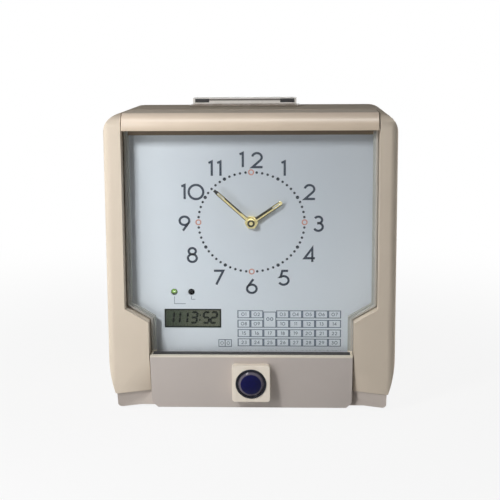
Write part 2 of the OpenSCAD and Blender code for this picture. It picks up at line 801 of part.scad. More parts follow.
module cannon_pinion() color("gold") difference() {
  union() {
    motion_gear(cannon_y, dial_z, cannon_module, cannon_teeth, 90);
    rod_y(minute_y, back_y - 1.2, 0, dial_z, arbor_r);
  }
}

module hour_wheel() color("gold") difference() {
  union() {
    motion_gear(hour_wheel_y, dial_z, idler_module, hour_teeth, 90);
    rod_y(hour_y, hour_wheel_y + eps, 0, dial_z, pipe_r);
  }
  rod_y(hour_y - 1, cannon_y, 0, dial_z, arbor_r + run_fit);
}

module minute_wheel() color("gold") difference() {
  union() {
    motion_gear(cannon_y, dial_z + motion_centre, cannon_module, minute_teeth, 90 + 180 / minute_teeth);
    motion_gear(hour_wheel_y, dial_z + motion_centre, idler_module, idler_teeth, 90 + 180 / idler_teeth);
    rod_y(hour_wheel_y, cannon_y + eps, 0, dial_z + motion_centre, 1.9);
  }
  rod_y(hour_wheel_y - 1, cannon_y + motion_face + 1, 0, dial_z + motion_centre, stud_r + run_fit);
}

// Display board with the small display and the two lamps

display_low_z = lcd_z - lcd_h / 2 - 6;
display_high_z = led_z + 8;

module display_board() color("darkgreen") {
  block([lcd_x - lcd_w / 2 - 6, board_y, display_low_z],
    [lcd_x + lcd_w / 2 + 6, board_y + board_t, display_high_z]);
  for (x = [-1, 1], z = [display_low_z + 4, display_high_z - 4])
    rod_y(dial_y + dial_t, board_y, lcd_x + x * (lcd_w / 2 + 2.5), z, 2.2);
}

module lcd_module() color("darkolivegreen") block(
  [lcd_x - lcd_w / 2 + part_gap, dial_y + lcd_recess, lcd_z - lcd_h / 2 + part_gap],
  [lcd_x + lcd_w / 2 - part_gap, board_y, lcd_z + lcd_h / 2 - part_gap]);

module lamp(x) translate([x, board_y, led_z]) rotate([90, 0, 0]) {
  reach = board_y - dial_y;
  rotate_extrude() polygon(concat([[0, 0], [led_d / 2 + 0.3, 0], [led_d / 2 + 0.3, 1], [led_d / 2, 1]],
    arc([0, reach - 1], led_d / 2, 0, 90, 8)));
}

module power_lamp() color("limegreen") lamp(led_xs[0]);

module signal_lamp() color("black") lamp(led_xs[1]);

// Printing mechanism

plate_foot = 12;
mech_screw_r = 1.5;
mech_screw_ys = [mech_front_y + 12, mech_rear_y - 12];
mech_screw_x = mech_half + mech_t + plate_foot / 2;

module mech_plates() color("lightgray") at_card() both() difference() {
  union() {
    along_x(mech_half, mech_half + mech_t) polygon([[mech_front_y, floor_z], [mech_rear_y, floor_z],
      [mech_rear_y, mech_top_z], [chute_y - 14, mech_top_z], [chute_y - 14, print_z + 34],
      [mech_front_y, print_z + 14]]);
    block([mech_half, mech_front_y, floor_z],
      [mech_half + mech_t + plate_foot, mech_rear_y, floor_z + mech_t]);
  }
  rod_x(mech_half - 1, mech_half + mech_t + 1, feed_y, feed_z, shaft_r + run_fit);
  rod_x(mech_half - 1, mech_half + mech_t + 1, pinch_y, feed_z, shaft_r + run_fit);
  rod_x(mech_half - 1, mech_half + mech_t + 1, feed_y, feed_z - motor_drop, motor_shaft_r + 1.5);
  for (y = rail_ys) rod_x(mech_half - 1, mech_half + mech_t + 1, y, rail_z, rail_r + run_fit);
  for (y = mech_screw_ys) rod_z(floor_z - 1, floor_z + mech_t + 1, mech_screw_x, y, mech_screw_r + run_fit);
}

module mech_screws() color("silver") at_card() both() for (y = mech_screw_ys) {
  rod_z(floor_z, floor_z + mech_t, mech_screw_x, y, mech_screw_r);
  rod_z(floor_z + mech_t, floor_z + mech_t + 2, mech_screw_x, y, mech_screw_r * 2);
}

module roller_windows(y0, y1, r) for (x = roller_xs)
  block([x - roller_w / 2 - window_clear, y0, feed_z - r - window_clear],
    [x + roller_w / 2 + window_clear, y1, feed_z + r + window_clear]);

gear_swing = gear_module * gear_teeth / 2 + gear_module + window_clear;
gear_low_z = feed_z - motor_drop - gear_module * (pinion_teeth / 2 + 1) - window_clear;

module chute_sheet(y0) block([-mech_half, y0, chute_low_z], [mech_half, y0 + chute_t, chute_top_z]);

module gear_relief() block([chute_half + 1, chute_y - 20, gear_low_z],
  [mech_half + 1, chute_y + 20, feed_z + gear_swing]);

module chute_front() color("lightgray") at_card() difference() {
  union() {
    chute_sheet(chute_y - chute_gap / 2 - chute_t);
    both() block([chute_half - side_t, chute_y - chute_gap / 2 - eps, chute_low_z],
      [chute_half, chute_y + chute_gap / 2, chute_top_z]);
  }
  roller_windows(chute_y - 20, chute_y, pinch_d / 2);
  gear_relief();
  block([-card_w / 2 + 4, chute_y - 20, print_z - ribbon_h / 2 - 3],
    [card_w / 2 - 4, chute_y, print_z + ribbon_h / 2 + 3]);
  rod_x(-mech_half, mech_half, pinch_y, feed_z, shaft_r + 1);
}

platen_h = 10;
platen_t = 3;

module chute_rear() color("lightgray") at_card() difference() {
  chute_sheet(chute_y + chute_gap / 2);
  roller_windows(chute_y, chute_y + 20, feed_d / 2);
  gear_relief();
  block([-card_w / 2, chute_y, print_z - platen_h / 2], [card_w / 2, chute_y + 20, print_z + platen_h / 2]);
}

module platen() color("black") at_card() {
  block([-card_w / 2, chute_y + chute_gap / 2, print_z - platen_h / 2],
    [card_w / 2, chute_y + chute_gap / 2 + chute_t, print_z + platen_h / 2]);
  block([-card_w / 2 - 2, chute_y + chute_gap / 2 + chute_t, print_z - platen_h / 2 - 2],
    [card_w / 2 + 2, chute_y + chute_gap / 2 + platen_t, print_z + platen_h / 2 + 2]);
}

shaft_half = mech_half + mech_t + 3;

module feed_shaft() color("silver") at_card() rod_x(-shaft_half, shaft_half, feed_y, feed_z, shaft_r);

module roller_pair(y, r) for (x = roller_xs) difference() {
  rod_x(x - roller_w / 2, x + roller_w / 2, y, feed_z, r);
  rod_x(x - roller_w, x + roller_w, y, feed_z, shaft_r);
}

module feed_rollers() color("black") at_card() roller_pair(feed_y, feed_d / 2);

module pinch_rollers() color("black") at_card() roller_pair(pinch_y, pinch_d / 2);

module pinch_shaft() color("silver") at_card() rod_x(-shaft_half, shaft_half, pinch_y, feed_z, shaft_r);

// Gears on the inside of the right plate; the outline's first tooth is turned to point down
module feed_gear() color("ivory") at_card() difference() {
  translate([gear_x, feed_y, feed_z]) rotate([90, 0, 90]) linear_extrude(gear_face) rotate(-90)
    gear_outline(gear_module, gear_teeth);
  rod_x(gear_x - 1, gear_x + gear_face + 1, feed_y, feed_z, shaft_r);
}

module motor_pinion() color("gold") at_card() {
  translate([gear_x, feed_y, feed_z - motor_drop]) rotate([90, 0, 90]) linear_extrude(gear_face)
    rotate(90 + 180 / pinion_teeth) gear_outline(gear_module, pinion_teeth);
  rod_x(gear_x, mech_half + mech_t + motor_l / 2, feed_y, feed_z - motor_drop, motor_shaft_r);
}

module feed_motor() color("dimgray") at_card() difference() {
  rod_x(mech_half + mech_t, mech_half + mech_t + motor_l, feed_y, feed_z - motor_drop, motor_r);
  rod_x(mech_half, mech_half + mech_t + motor_l / 2 + eps, feed_y, feed_z - motor_drop,
    motor_shaft_r + run_fit);
  rod_x(mech_half, mech_half + mech_t + 4, feed_y, feed_z, shaft_r + 2);
}

// Print carriage

module carriage_rails() color("silver") at_card() for (y = rail_ys)
  rod_x(-mech_half - mech_t, mech_half + mech_t, y, rail_z, rail_r);

module print_carriage() color("darkslategray") at_card() difference() {
  union() {
    block([-carriage_half, rail_ys[1] - rail_r - 3, rail_z - carriage_t / 2],
      [carriage_half, rail_ys[0] + rail_r + 3, rail_z + carriage_t / 2]);
    block([-4, belt_y - 4, belt_z + pulley_r + belt_t + belt_clear], [4, belt_y + 4, rail_z]);
  }
  for (y = rail_ys) rod_x(-case_w, case_w, y, rail_z, rail_r + run_fit);
}

nose_y = ribbon_y - ribbon_t - part_gap;

module print_head() color("black") at_card() {
  block([-head_w / 2, rail_ys[1] - 2, rail_z + carriage_t / 2], [head_w / 2, rail_ys[0] + 2, print_z + 7]);
  along_y(rail_ys[0] + 2, nose_y) translate([-nose_half, print_z - nose_h / 2])
    square([2 * nose_half, nose_h]);
  for (z = [0:3]) block([-head_w / 2 - 2, rail_ys[1] + 2, rail_z + carriage_t / 2 + 2 + 3.6 * z],
    [head_w / 2 + 2, rail_ys[0] - 2, rail_z + carriage_t / 2 + 3.4 + 3.6 * z]);
}

module pulley(x) difference() {
  union() {
    translate([x, belt_y + pulley_w / 2, belt_z]) rotate([90, 0, 0]) cylinder(h = pulley_w, r = pulley_r);
    translate([x, belt_y + pulley_w / 2 + 1, belt_z]) rotate([90, 0, 0]) cylinder(h = 1, r = pulley_r + 2);
    translate([x, belt_y - pulley_w / 2, belt_z]) rotate([90, 0, 0]) cylinder(h = 1, r = pulley_r + 2);
  }
  rod_y(belt_y - pulley_w, belt_y + pulley_w, x, belt_z, pulley_axle_r + run_fit);
}

module drive_pulley() color("silver") at_card() pulley(pulley_x);

drive_motor_r = 8;
drive_motor_l = 16;
drive_motor_y = belt_y - pulley_w / 2 - 1.5;
bracket_h = 8;

// Carriage motor on the right plate, with its spindle through the pulley
module carriage_motor() color("dimgray") at_card() {
  rod_y(drive_motor_y - drive_motor_l, drive_motor_y, pulley_x, belt_z, drive_motor_r);
  rod_y(drive_motor_y - eps, belt_y + pulley_w / 2 + 2, pulley_x, belt_z, pulley_axle_r);
  block([pulley_x, drive_motor_y - drive_motor_l, belt_z - bracket_h / 2],
    [mech_half, drive_motor_y - 4, belt_z + bracket_h / 2]);
}

// Bracket on the left plate that carries the idler
module idler_bracket() color("lightgray") at_card() {
  block([-mech_half, drive_motor_y - 4, belt_z - bracket_h / 2],
    [-pulley_x + bracket_h / 2, drive_motor_y, belt_z + bracket_h / 2]);
  rod_y(drive_motor_y - eps, belt_y + pulley_w / 2 + 2, -pulley_x, belt_z, pulley_axle_r);
}

module idler_pulley() color("silver") at_card() pulley(-pulley_x);

belt_half = pulley_w / 2 - eps;

module carriage_belt() color("black") at_card() along_y(belt_y - belt_half, belt_y + belt_half) difference() {
  loop_outline(pulley_r + belt_clear + belt_t);
  loop_outline(pulley_r + belt_clear);
}

module loop_outline(r) {
  for (x = [-pulley_x, pulley_x]) translate([x, belt_z]) circle(r);
  translate([-pulley_x, belt_z - r]) square([2 * pulley_x, 2 * r]);
}

// Ribbon cassette above the carriage, with two arms that hold the band before the platen
cassette_half = card_w / 2 + 4;
cassette_y0 = rail_ys[1] - 2;
cassette_y1 = chute_y - 18;
cassette_z0 = print_z + ribbon_h / 2 + 4;
cassette_z1 = cassette_z0 + 12;
arm_w = 5;

module ribbon_cassette() color("dimgray") at_card() {
  block([-cassette_half, cassette_y0, cassette_z0], [cassette_half, cassette_y1, cassette_z1]);
  both() {
    block([cassette_half - arm_w, cassette_y1 - eps, print_z - ribbon_h / 2],
      [cassette_half, ribbon_y - ribbon_t, cassette_z1]);
    block([cassette_half, cassette_y0, cassette_z0], [mech_half, cassette_y0 + 12, cassette_z0 + 2]);
  }
}

knob_r = 7;
knob_h = 5;
knob_x = cassette_half - 14;
knob_y = cassette_y0 + 12;
knob_flutes = 12;

// Knurled knob that winds the ribbon on by hand
knob_z = cassette_z1 + part_gap;

module ribbon_knob() color("black") at_card() translate([knob_x, knob_y, knob_z]) difference() {
  cylinder(h = knob_h, r = knob_r);
  for (i = [0:knob_flutes - 1]) rotate(360 * i / knob_flutes) translate([knob_r + 0.5, 0, -1])
    cylinder(h = knob_h + 2, r = 1.1);
}

module ribbon_band() color("black") at_card() block(
  [-cassette_half, ribbon_y - ribbon_t, print_z - ribbon_h / 2],
  [cassette_half, ribbon_y, print_z + ribbon_h / 2]);

// Electronics

main_in = 16;
main_x = main_in - low_half;
main_y0 = dial_y + 20;
main_y1 = panel_y - 14;
main_z0 = floor_z + 16;
main_h = 130;
main_z1 = main_z0 + main_h;
main_foot = 8;

module main_board() color("darkgreen") {
  block([main_x, main_y0, main_z0], [main_x + board_t, main_y1, main_z1]);
  for (y = [main_y0 + main_foot, main_y1 - main_foot])
    block([main_x, y - main_foot / 2, floor_z], [main_x + board_t, y + main_foot / 2, main_z0 + eps]);
}

chip_l = 18;
chip_h = 10;
chip_t = 4;
chip_ys = [main_y0 + chip_l, main_y1 - 2 * chip_l];
chip_zs = [main_z0 + 3 * chip_h, main_z0 + 7.5 * chip_h];
can_r = 5;
can_l = 14;
can_count = 3;
socket_l = 40;
socket_h = 8;
socket_t = 9;

module board_parts() color("black") translate([main_x + board_t, 0, 0]) {
  for (y = chip_ys, z = chip_zs)
    block([0, y - chip_l / 2, z - chip_h / 2], [chip_t, y + chip_l / 2, z + chip_h / 2]);
  for (i = [0:can_count - 1]) rod_x(0, can_l, main_y1 - can_l, main_z0 + 2 * chip_h + can_l * i, can_r);
  block([0, main_y0 + chip_h, main_z1 - socket_h * 2.5],
    [socket_t, main_y0 + chip_h + socket_l, main_z1 - socket_h * 1.5]);
}

battery_d = 22;
battery_l = 14;

module backup_battery() color("seagreen") translate([main_x + board_t, 0, 0])
  rod_x(0, battery_l, main_y1 - battery_d, main_z1 - battery_d * 1.2, battery_d / 2);

trans_x0 = mech_half + mech_t + plate_foot + 6;
trans_x1 = low_half - main_in;
trans_y0 = dial_y + 24;
trans_d = 40;
trans_h = 44;
trans_y1 = trans_y0 + trans_d;
trans_z1 = floor_z + trans_h;
coil_in = 4;
coil_out = 8;

module transformer() color("darkgray") {
  block([trans_x0, trans_y0, floor_z], [trans_x1, trans_y1, trans_z1]);
  block([trans_x0 + coil_in, trans_y0 - coil_out, floor_z + coil_out],
    [trans_x1 - coil_in, trans_y1 + coil_out, trans_z1 - coil_out]);
}

main_case();
rear_panel();
base_tray();
rubber_feet();
rear_screws();
mains_gland();
cover_frame();
cover_window();
hinge_pins();
catch_boss();
catch_ring();
catch_button();
catch_spring();
strike_plate();
card_throat();
throat_pads();
dial_plate();
dial_screws();
minute_hand();
hour_hand();
hand_cap();
movement_nut();
movement_case();
movement_back();
cannon_pinion();
hour_wheel();
minute_wheel();
display_board();
lcd_module();
power_lamp();
signal_lamp();
mech_plates();
mech_screws();
chute_front();
chute_rear();
feed_shaft();
feed_rollers();
feed_gear();
pinch_shaft();
pinch_rollers();
feed_motor();
motor_pinion();
carriage_rails();
print_carriage();
print_head();
carriage_motor();
drive_pulley();
idler_bracket();
idler_pulley();
carriage_belt();
ribbon_cassette();
ribbon_knob();
ribbon_band();
platen();
main_board();
board_parts();
backup_battery();
transformer();
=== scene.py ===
import json
import math

import bmesh
import bpy
from mathutils import Matrix, Vector


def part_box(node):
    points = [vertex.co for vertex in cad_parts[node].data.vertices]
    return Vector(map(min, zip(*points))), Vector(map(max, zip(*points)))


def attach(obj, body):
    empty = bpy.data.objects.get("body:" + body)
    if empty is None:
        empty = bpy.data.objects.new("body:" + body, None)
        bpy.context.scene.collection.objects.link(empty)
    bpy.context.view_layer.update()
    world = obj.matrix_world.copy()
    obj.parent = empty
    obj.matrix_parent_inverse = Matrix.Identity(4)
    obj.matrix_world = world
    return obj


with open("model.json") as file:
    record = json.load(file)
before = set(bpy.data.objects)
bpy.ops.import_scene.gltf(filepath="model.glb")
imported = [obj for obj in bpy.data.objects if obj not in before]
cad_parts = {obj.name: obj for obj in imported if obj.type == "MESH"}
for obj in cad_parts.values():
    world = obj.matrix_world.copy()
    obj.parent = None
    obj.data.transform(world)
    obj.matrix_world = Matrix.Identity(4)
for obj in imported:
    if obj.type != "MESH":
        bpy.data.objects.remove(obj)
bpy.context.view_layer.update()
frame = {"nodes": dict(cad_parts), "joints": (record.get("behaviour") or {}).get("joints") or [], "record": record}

MM = 0.001
NODES = frame["nodes"]
JOINTS = {joint["name"]: joint for joint in frame["joints"]}


# Colours and materials

NOISE_LOW = 0.3
NOISE_HIGH = 0.7
NOISE_DETAIL = 3.0
GRAIN_DETAIL = 2.0
GLOSS_PATCHES = 3
BUMP_MM = 0.1
COAT_ROUGH = 0.05
SHEET_PATCH_MM = 40
SHEET_ROUGH = (0.02, 0.08)
SHEET_BLEND = 0.3


def srgb(red, green, blue):
    """A linear colour from 8-bit screen values."""
    def channel(value):
        value /= 255
        return value / 12.92 if value <= 0.04045 else ((value + 0.055) / 1.055) ** 2.4
    return tuple(channel(value) for value in (red, green, blue)) + (1.0,)


def shaded(colour, share):
    """The colour made lighter or darker by a share."""
    return tuple(min(1.0, channel * (1 + share)) for channel in colour[:3]) + (1.0,)


def new_material(name):
    material = bpy.data.materials.new(name)
    material.use_nodes = True
    return material, material.node_tree.nodes, material.node_tree.links


def place_vector(nodes, links, stretch):
    """Object coordinates in metres, stretched per axis for a directional grain."""
    coords = nodes.new("ShaderNodeTexCoord")
    mapping = nodes.new("ShaderNodeMapping")
    mapping.inputs["Scale"].default_value = stretch
    links.new(coords.outputs["Object"], mapping.inputs["Vector"])
    return mapping.outputs["Vector"]


def noise(nodes, links, vector, size_mm, detail=NOISE_DETAIL):
    """A noise texture whose features are about size_mm across."""
    texture = nodes.new("ShaderNodeTexNoise")
    texture.inputs["Scale"].default_value = 1 / (size_mm * MM)
    texture.inputs["Detail"].default_value = detail
    links.new(vector, texture.inputs["Vector"])
    return texture.outputs["Fac"]


def remap(nodes, links, value, low, high):
    """Spreads a noise value from low to high."""
    spread = nodes.new("ShaderNodeMapRange")
    spread.inputs["From Min"].default_value = NOISE_LOW
    spread.inputs["From Max"].default_value = NOISE_HIGH
    spread.inputs["To Min"].default_value = low
    spread.inputs["To Max"].default_value = high
    links.new(value, spread.inputs["Value"])
    return spread.outputs["Result"]


def from_middle(nodes, links, node):
    """The distance from the middle of a CAD piece, in metres."""
    low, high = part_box(node)
    coords = nodes.new("ShaderNodeTexCoord")
    away = nodes.new("ShaderNodeVectorMath")
    away.operation = "DISTANCE"
    away.inputs[1].default_value = (low + high) / 2
    links.new(coords.outputs["Object"], away.inputs[0])
    return away.outputs["Value"]


def on_axis(nodes, links, axis):
    """The place on an axis of the object, in metres."""
    coords = nodes.new("ShaderNodeTexCoord")
    split = nodes.new("ShaderNodeSeparateXYZ")
    links.new(coords.outputs["Object"], split.inputs["Vector"])
    return split.outputs[axis]


def along_axis(nodes, links, axis, start, end):
    """Grows smoothly from 0 to 1 between two places on an axis, in mm.

    Where axis names a CAD piece instead, start and end are distances from its middle."""
    if axis in NODES:
        place = from_middle(nodes, links, axis)
    else:
        place = on_axis(nodes, links, axis)
    along = nodes.new("ShaderNodeMapRange")
    along.interpolation_type = "SMOOTHSTEP"
    along.inputs["From Min"].default_value = start * MM
    along.inputs["From Max"].default_value = end * MM
    links.new(place, along.inputs["Value"])
    return along.outputs["Result"]


def mottled(nodes, links, speckle, colour, mottle, low=0.0, high=1.0):
    """A colour that goes from darker to lighter by a share, between two values of a noise."""
    ramp = nodes.new("ShaderNodeValToRGB")
    dark, light = ramp.color_ramp.elements
    dark.position = low
    light.position = high
    dark.color = shaded(colour, -mottle)
    light.color = shaded(colour, mottle)
    links.new(speckle, ramp.inputs["Fac"])
    return ramp.outputs["Color"]


def faded(nodes, links, colour, speckle, fade, mottle):
    """Runs another mottled colour over to this one, as fade says."""
    other, *stretch = fade
    mix = nodes.new("ShaderNodeMix")
    mix.data_type = "RGBA"
    links.new(along_axis(nodes, links, *stretch), mix.inputs["Factor"])
    links.new(mottled(nodes, links, speckle, other, mottle), mix.inputs["A"])
    links.new(colour, mix.inputs["B"])
    return mix.outputs["Result"]


def matted(nodes, links, gloss, dull):
    """Takes a roughness to fully matt, as dull says."""
    rougher = nodes.new("ShaderNodeMath")
    rougher.operation = "MAXIMUM"
    links.new(gloss, rougher.inputs[0])
    links.new(along_axis(nodes, links, *dull), rougher.inputs[1])
    return rougher.outputs["Value"]


def grained(nodes, links, vector, grain, grain_mm):
    """A fine bump of that strength and size."""
    bump = nodes.new("ShaderNodeBump")
    bump.inputs["Strength"].default_value = grain
    bump.inputs["Distance"].default_value = BUMP_MM * MM
    links.new(noise(nodes, links, vector, grain_mm, GRAIN_DETAIL), bump.inputs["Height"])
    return bump.outputs["Normal"]


def surface(name, colour, rough, metal=0.0, coat=0.0, mottle=0.03, mottle_mm=25, grain=0.0, grain_mm=0.5,
            rough_vary=0.05, stretch=(1, 1, 1), glow=0.0, fades=(), gleam=0.5, dull=None):
    """A finish with mottled colour, uneven gloss and a fine moulded or brushed grain.

    Each of fades = (other colour, axis, from_mm, to_mm) runs from another colour to this one,
    and dull = (axis, from_mm, to_mm) takes the gloss from its own to fully matt."""
    material, nodes, links = new_material(name)
    shader = nodes["Principled BSDF"]
    vector = place_vector(nodes, links, stretch)
    speckle = noise(nodes, links, vector, mottle_mm)
    shade = mottled(nodes, links, speckle, colour, mottle, NOISE_LOW, NOISE_HIGH)
    for fade in fades:
        shade = faded(nodes, links, shade, speckle, fade, mottle)
    links.new(shade, shader.inputs["Base Color"])
    patches = noise(nodes, links, vector, mottle_mm / GLOSS_PATCHES)
    gloss = remap(nodes, links, patches, rough - rough_vary, rough + rough_vary)
    if dull:
        gloss = matted(nodes, links, gloss, dull)
    links.new(gloss, shader.inputs["Roughness"])
    shader.inputs["Metallic"].default_value = metal
    shader.inputs["Specular IOR Level"].default_value = gleam
    shader.inputs["Coat Weight"].default_value = coat
    shader.inputs["Coat Roughness"].default_value = COAT_ROUGH
    if glow:
        shader.inputs["Emission Color"].default_value = colour
        shader.inputs["Emission Strength"].default_value = glow
    if grain:
        links.new(grained(nodes, links, vector, grain, grain_mm), shader.inputs["Normal"])
    return material


def clear_sheet(name, tint, mirror_share):
    """Thin clear plastic: it lets light straight through, and mirrors more the flatter it is seen."""
    material, nodes, links = new_material(name)
    nodes.remove(nodes["Principled BSDF"])
    clear = nodes.new("ShaderNodeBsdfTransparent")
    clear.inputs["Color"].default_value = tint
    mirror = nodes.new("ShaderNodeBsdfGlossy")
    vector = place_vector(nodes, links, (1, 1, 1))
    patches = noise(nodes, links, vector, SHEET_PATCH_MM)
    links.new(remap(nodes, links, patches, *SHEET_ROUGH), mirror.inputs["Roughness"])
    facing = nodes.new("ShaderNodeLayerWeight")
    facing.inputs["Blend"].default_value = SHEET_BLEND
    share = nodes.new("ShaderNodeMapRange")
    share.interpolation_type = "SMOOTHSTEP"
    share.inputs["To Min"].default_value = mirror_share[0]
    share.inputs["To Max"].default_value = mirror_share[1]
    links.new(facing.outputs["Facing"], share.inputs["Value"])
    mix = nodes.new("ShaderNodeMixShader")
    links.new(share.outputs["Result"], mix.inputs["Fac"])
    links.new(clear.outputs["BSDF"], mix.inputs[1])
    links.new(mirror.outputs["BSDF"], mix.inputs[2])
    links.new(mix.outputs["Shader"], nodes["Material Output"].inputs["Surface"])
    return material


BEIGE = srgb(217, 204, 187)
# Painted shade: a darker beige on the flat tops of the casing and the cover, where less light falls
TOP_SHADE_BEIGE = srgb(190, 177, 161)
COVER_BEIGE = srgb(236, 217, 196)
# Painted shade: the throat's foot a darker brown, for the shade at its base on the casing's top
FLANGE_SHADE_BROWN = srgb(142, 131, 119)
# Painted shade: the chin a darker grey, as it leans back and faces a little down
CHIN_SHADE_GREY = srgb(199, 190, 184)
# Painted shade: the brow darker towards its lower edge, where it turns away from the light
BROW_LOW_SHADE = srgb(206, 189, 168)
# Painted shade: the cover's side rails a darker grey, for the shade inside the window's sides
RAIL_SHADE_GREY = srgb(176, 174, 168)
# Painted highlight: a lighter cream on the sill's top, where light catches it
SILL_HIGHLIGHT_CREAM = srgb(240, 232, 216)
# Painted reflection: a grey rim round the edge of the button's dome, where its curve mirrors the light
RIM_REFLECTION_GREY = srgb(112, 106, 118)
# Painted light and shade: the dial lighter towards its left and its foot, darker towards its top under the brow
DIAL_LEFT_LIT = srgb(228, 231, 236)
DIAL_FOOT_LIT = srgb(237, 240, 245)
# Painted shade: the display darker at its left end, for the window's shadow on it
LCD_LEFT_SHADE = srgb(70, 78, 62)
# Painted shade: the green lamp's lens dark at its foot and lit at its top
LENS_FOOT_SHADE = srgb(16, 26, 8)
WINDOW_TINT = (0.97, 0.985, 0.99, 1)
WINDOW_MIRROR = (0.012, 0.5)
ALONG_X = (0.06, 1, 1)
ACROSS_X = (8, 1, 1)

# Places in mm between which a colour or a gloss runs over to the next; the colours that run over are painted shade
# and painted light
CASE_TOP_Z = (254, 261)
BROW_Z = (246, 260)
RAIL_TOP_Z = (245, 246)
SILL_Z = (52, 53)
CHIN_TOP_Z = (49, 50.6)
COVER_TOP_Z = (260.9, 260.2)
COVER_MATT_Z = (259.5, 260.9)
FLANGE_Z = (263.2, 264.0)
RIM_R = (9.8, 9.0)
DIAL_X = (-130, 20)
DIAL_Z = (60, 240)
LCD_X = (-75, -35)
LENS_Z = (100.2, 103.6)

COVER_LIGHT_FADES = ((BROW_LOW_SHADE, "Z", *BROW_Z), (RAIL_SHADE_GREY, "Z", *RAIL_TOP_Z), (SILL_HIGHLIGHT_CREAM, "Z", *SILL_Z),
               (CHIN_SHADE_GREY, "Z", *CHIN_TOP_Z), (TOP_SHADE_BEIGE, "Z", *COVER_TOP_Z))
DIAL_LIGHT_FADES = ((DIAL_LEFT_LIT, "X", *DIAL_X), (DIAL_FOOT_LIT, "Z", *DIAL_Z))

# The finish of each material slot of the record
FINISHES = {
    # The casing is painted darker on its top as painted shade, and plain beige below
    "case_plastic": dict(colour=TOP_SHADE_BEIGE, rough=0.65, gleam=0.02, grain=0.18, grain_mm=0.6,
                         fades=((BEIGE, "Z", *CASE_TOP_Z),)),
    # The cover's colour fades are painted shade on the brow's lower part, the rails, the chin and the flat top,
    # and a painted highlight on the sill
    "cover_plastic": dict(colour=COVER_BEIGE, rough=0.36, gleam=0.45, rough_vary=0.02, grain=0.16,
                          grain_mm=0.6, fades=COVER_LIGHT_FADES, dull=("Z", *COVER_MATT_Z)),
    "boss_plastic": dict(colour=srgb(244, 234, 219), rough=0.4, gleam=0.3, grain=0.1),
    "throat_white": dict(colour=srgb(244, 240, 234), rough=0.28, coat=0.4, mottle=0.02,
                         fades=((FLANGE_SHADE_BROWN, "Z", *FLANGE_Z),)),
    "black_plastic": dict(colour=srgb(28, 27, 27), rough=0.45, grain=0.2),
    "foot_rubber": dict(colour=srgb(38, 37, 37), rough=0.75, grain=0.35, grain_mm=0.8),
    "roller_rubber": dict(colour=srgb(48, 46, 46), rough=0.7, grain=0.4, grain_mm=0.4),
    "steel": dict(colour=srgb(196, 198, 200), rough=0.28, metal=1.0, mottle_mm=6, stretch=ALONG_X),
    "zinc_sheet": dict(colour=srgb(176, 179, 181), rough=0.38, metal=1.0, mottle=0.08, mottle_mm=9),
    "ring_metal": dict(colour=srgb(44, 45, 52), rough=0.25, metal=1.0, mottle_mm=5),
    "button_blue": dict(colour=srgb(6, 8, 70), rough=0.1, gleam=0.12, mottle=0.08, mottle_mm=8,
                        rough_vary=0.03, fades=((RIM_REFLECTION_GREY, "catch_ring", *RIM_R),)),
    "dial_face": dict(colour=srgb(208, 211, 217), rough=0.5, gleam=0.15, mottle=0.012, mottle_mm=60,
                      grain=0.05, fades=DIAL_LIGHT_FADES),
    "hand_gold": dict(colour=srgb(222, 206, 152), rough=0.26, metal=1.0, mottle=0.06, mottle_mm=4),
    "gear_brass": dict(colour=srgb(205, 172, 100), rough=0.3, metal=1.0, mottle=0.06, mottle_mm=4),
    "gear_nylon": dict(colour=srgb(228, 222, 202), rough=0.4, mottle=0.02),
    "movement_plastic": dict(colour=srgb(40, 40, 43), rough=0.5, grain=0.25),
    "board_green": dict(colour=srgb(30, 92, 52), rough=0.3, coat=0.3, mottle=0.12, mottle_mm=5),
    "lcd_glass": dict(colour=srgb(104, 106, 88), rough=0.4, mottle=0.05, mottle_mm=30, gleam=0.1,
                      fades=((LCD_LEFT_SHADE, "X", *LCD_X),)),
    "lamp_green": dict(colour=srgb(140, 188, 66), rough=0.15, coat=1.0, mottle=0.1, mottle_mm=3, glow=0.04,
                       fades=((LENS_FOOT_SHADE, "Z", *LENS_Z),)),
    "lamp_dark": dict(colour=srgb(10, 9, 12), rough=0.2, gleam=0.08, mottle=0.1, mottle_mm=3),
    "motor_can": dict(colour=srgb(120, 122, 126), rough=0.4, metal=1.0, mottle_mm=10, stretch=ALONG_X),
    "mech_plastic": dict(colour=srgb(54, 56, 60), rough=0.5, grain=0.25),
    "head_black": dict(colour=srgb(44, 44, 47), rough=0.45, metal=0.6, grain=0.2),
    "pulley_metal": dict(colour=srgb(188, 190, 192), rough=0.3, metal=1.0, mottle_mm=3),
    "belt_rubber": dict(colour=srgb(36, 36, 36), rough=0.7, grain=0.4, grain_mm=1.0),
    "ribbon_fabric": dict(colour=srgb(44, 38, 66), rough=0.85, mottle=0.2, mottle_mm=0.5, grain=0.5,
                          grain_mm=0.3),
    "chip_black": dict(colour=srgb(40, 40, 42), rough=0.55, grain=0.3),
    "battery_wrap": dict(colour=srgb(52, 128, 98), rough=0.3, coat=0.5),
    "transformer_iron": dict(colour=srgb(104, 96, 88), rough=0.5, mottle=0.15, mottle_mm=3, stretch=ACROSS_X),
}
LOOKS = {slot: surface(slot, **finish) for slot, finish in FINISHES.items()}
LOOKS["window_clear"] = clear_sheet("window_clear", WINDOW_TINT, WINDOW_MIRROR)

# Inks of the printed marks, and the finishes of trim and of one CAD piece; the olive trim, the display's edge, the
# window strip's brown and the base tray's darker plastic are painted shade
INK_DARK = surface("ink_dark", srgb(48, 56, 70), 0.5, mottle=0.08, mottle_mm=2)
INK_GREY = surface("ink_grey", srgb(118, 128, 142), 0.5, mottle=0.06, mottle_mm=2)
INK_RED = surface("ink_red", srgb(208, 150, 134), 0.5, mottle=0.08, mottle_mm=2)
# Dark ink of the display's digits, also used as painted shade for the dark edge round the display
SEGMENT_INK_AND_SHADE = surface("segment_ink_and_shade", srgb(16, 20, 14), 0.5, gleam=0.1, mottle=0.1, mottle_mm=2)
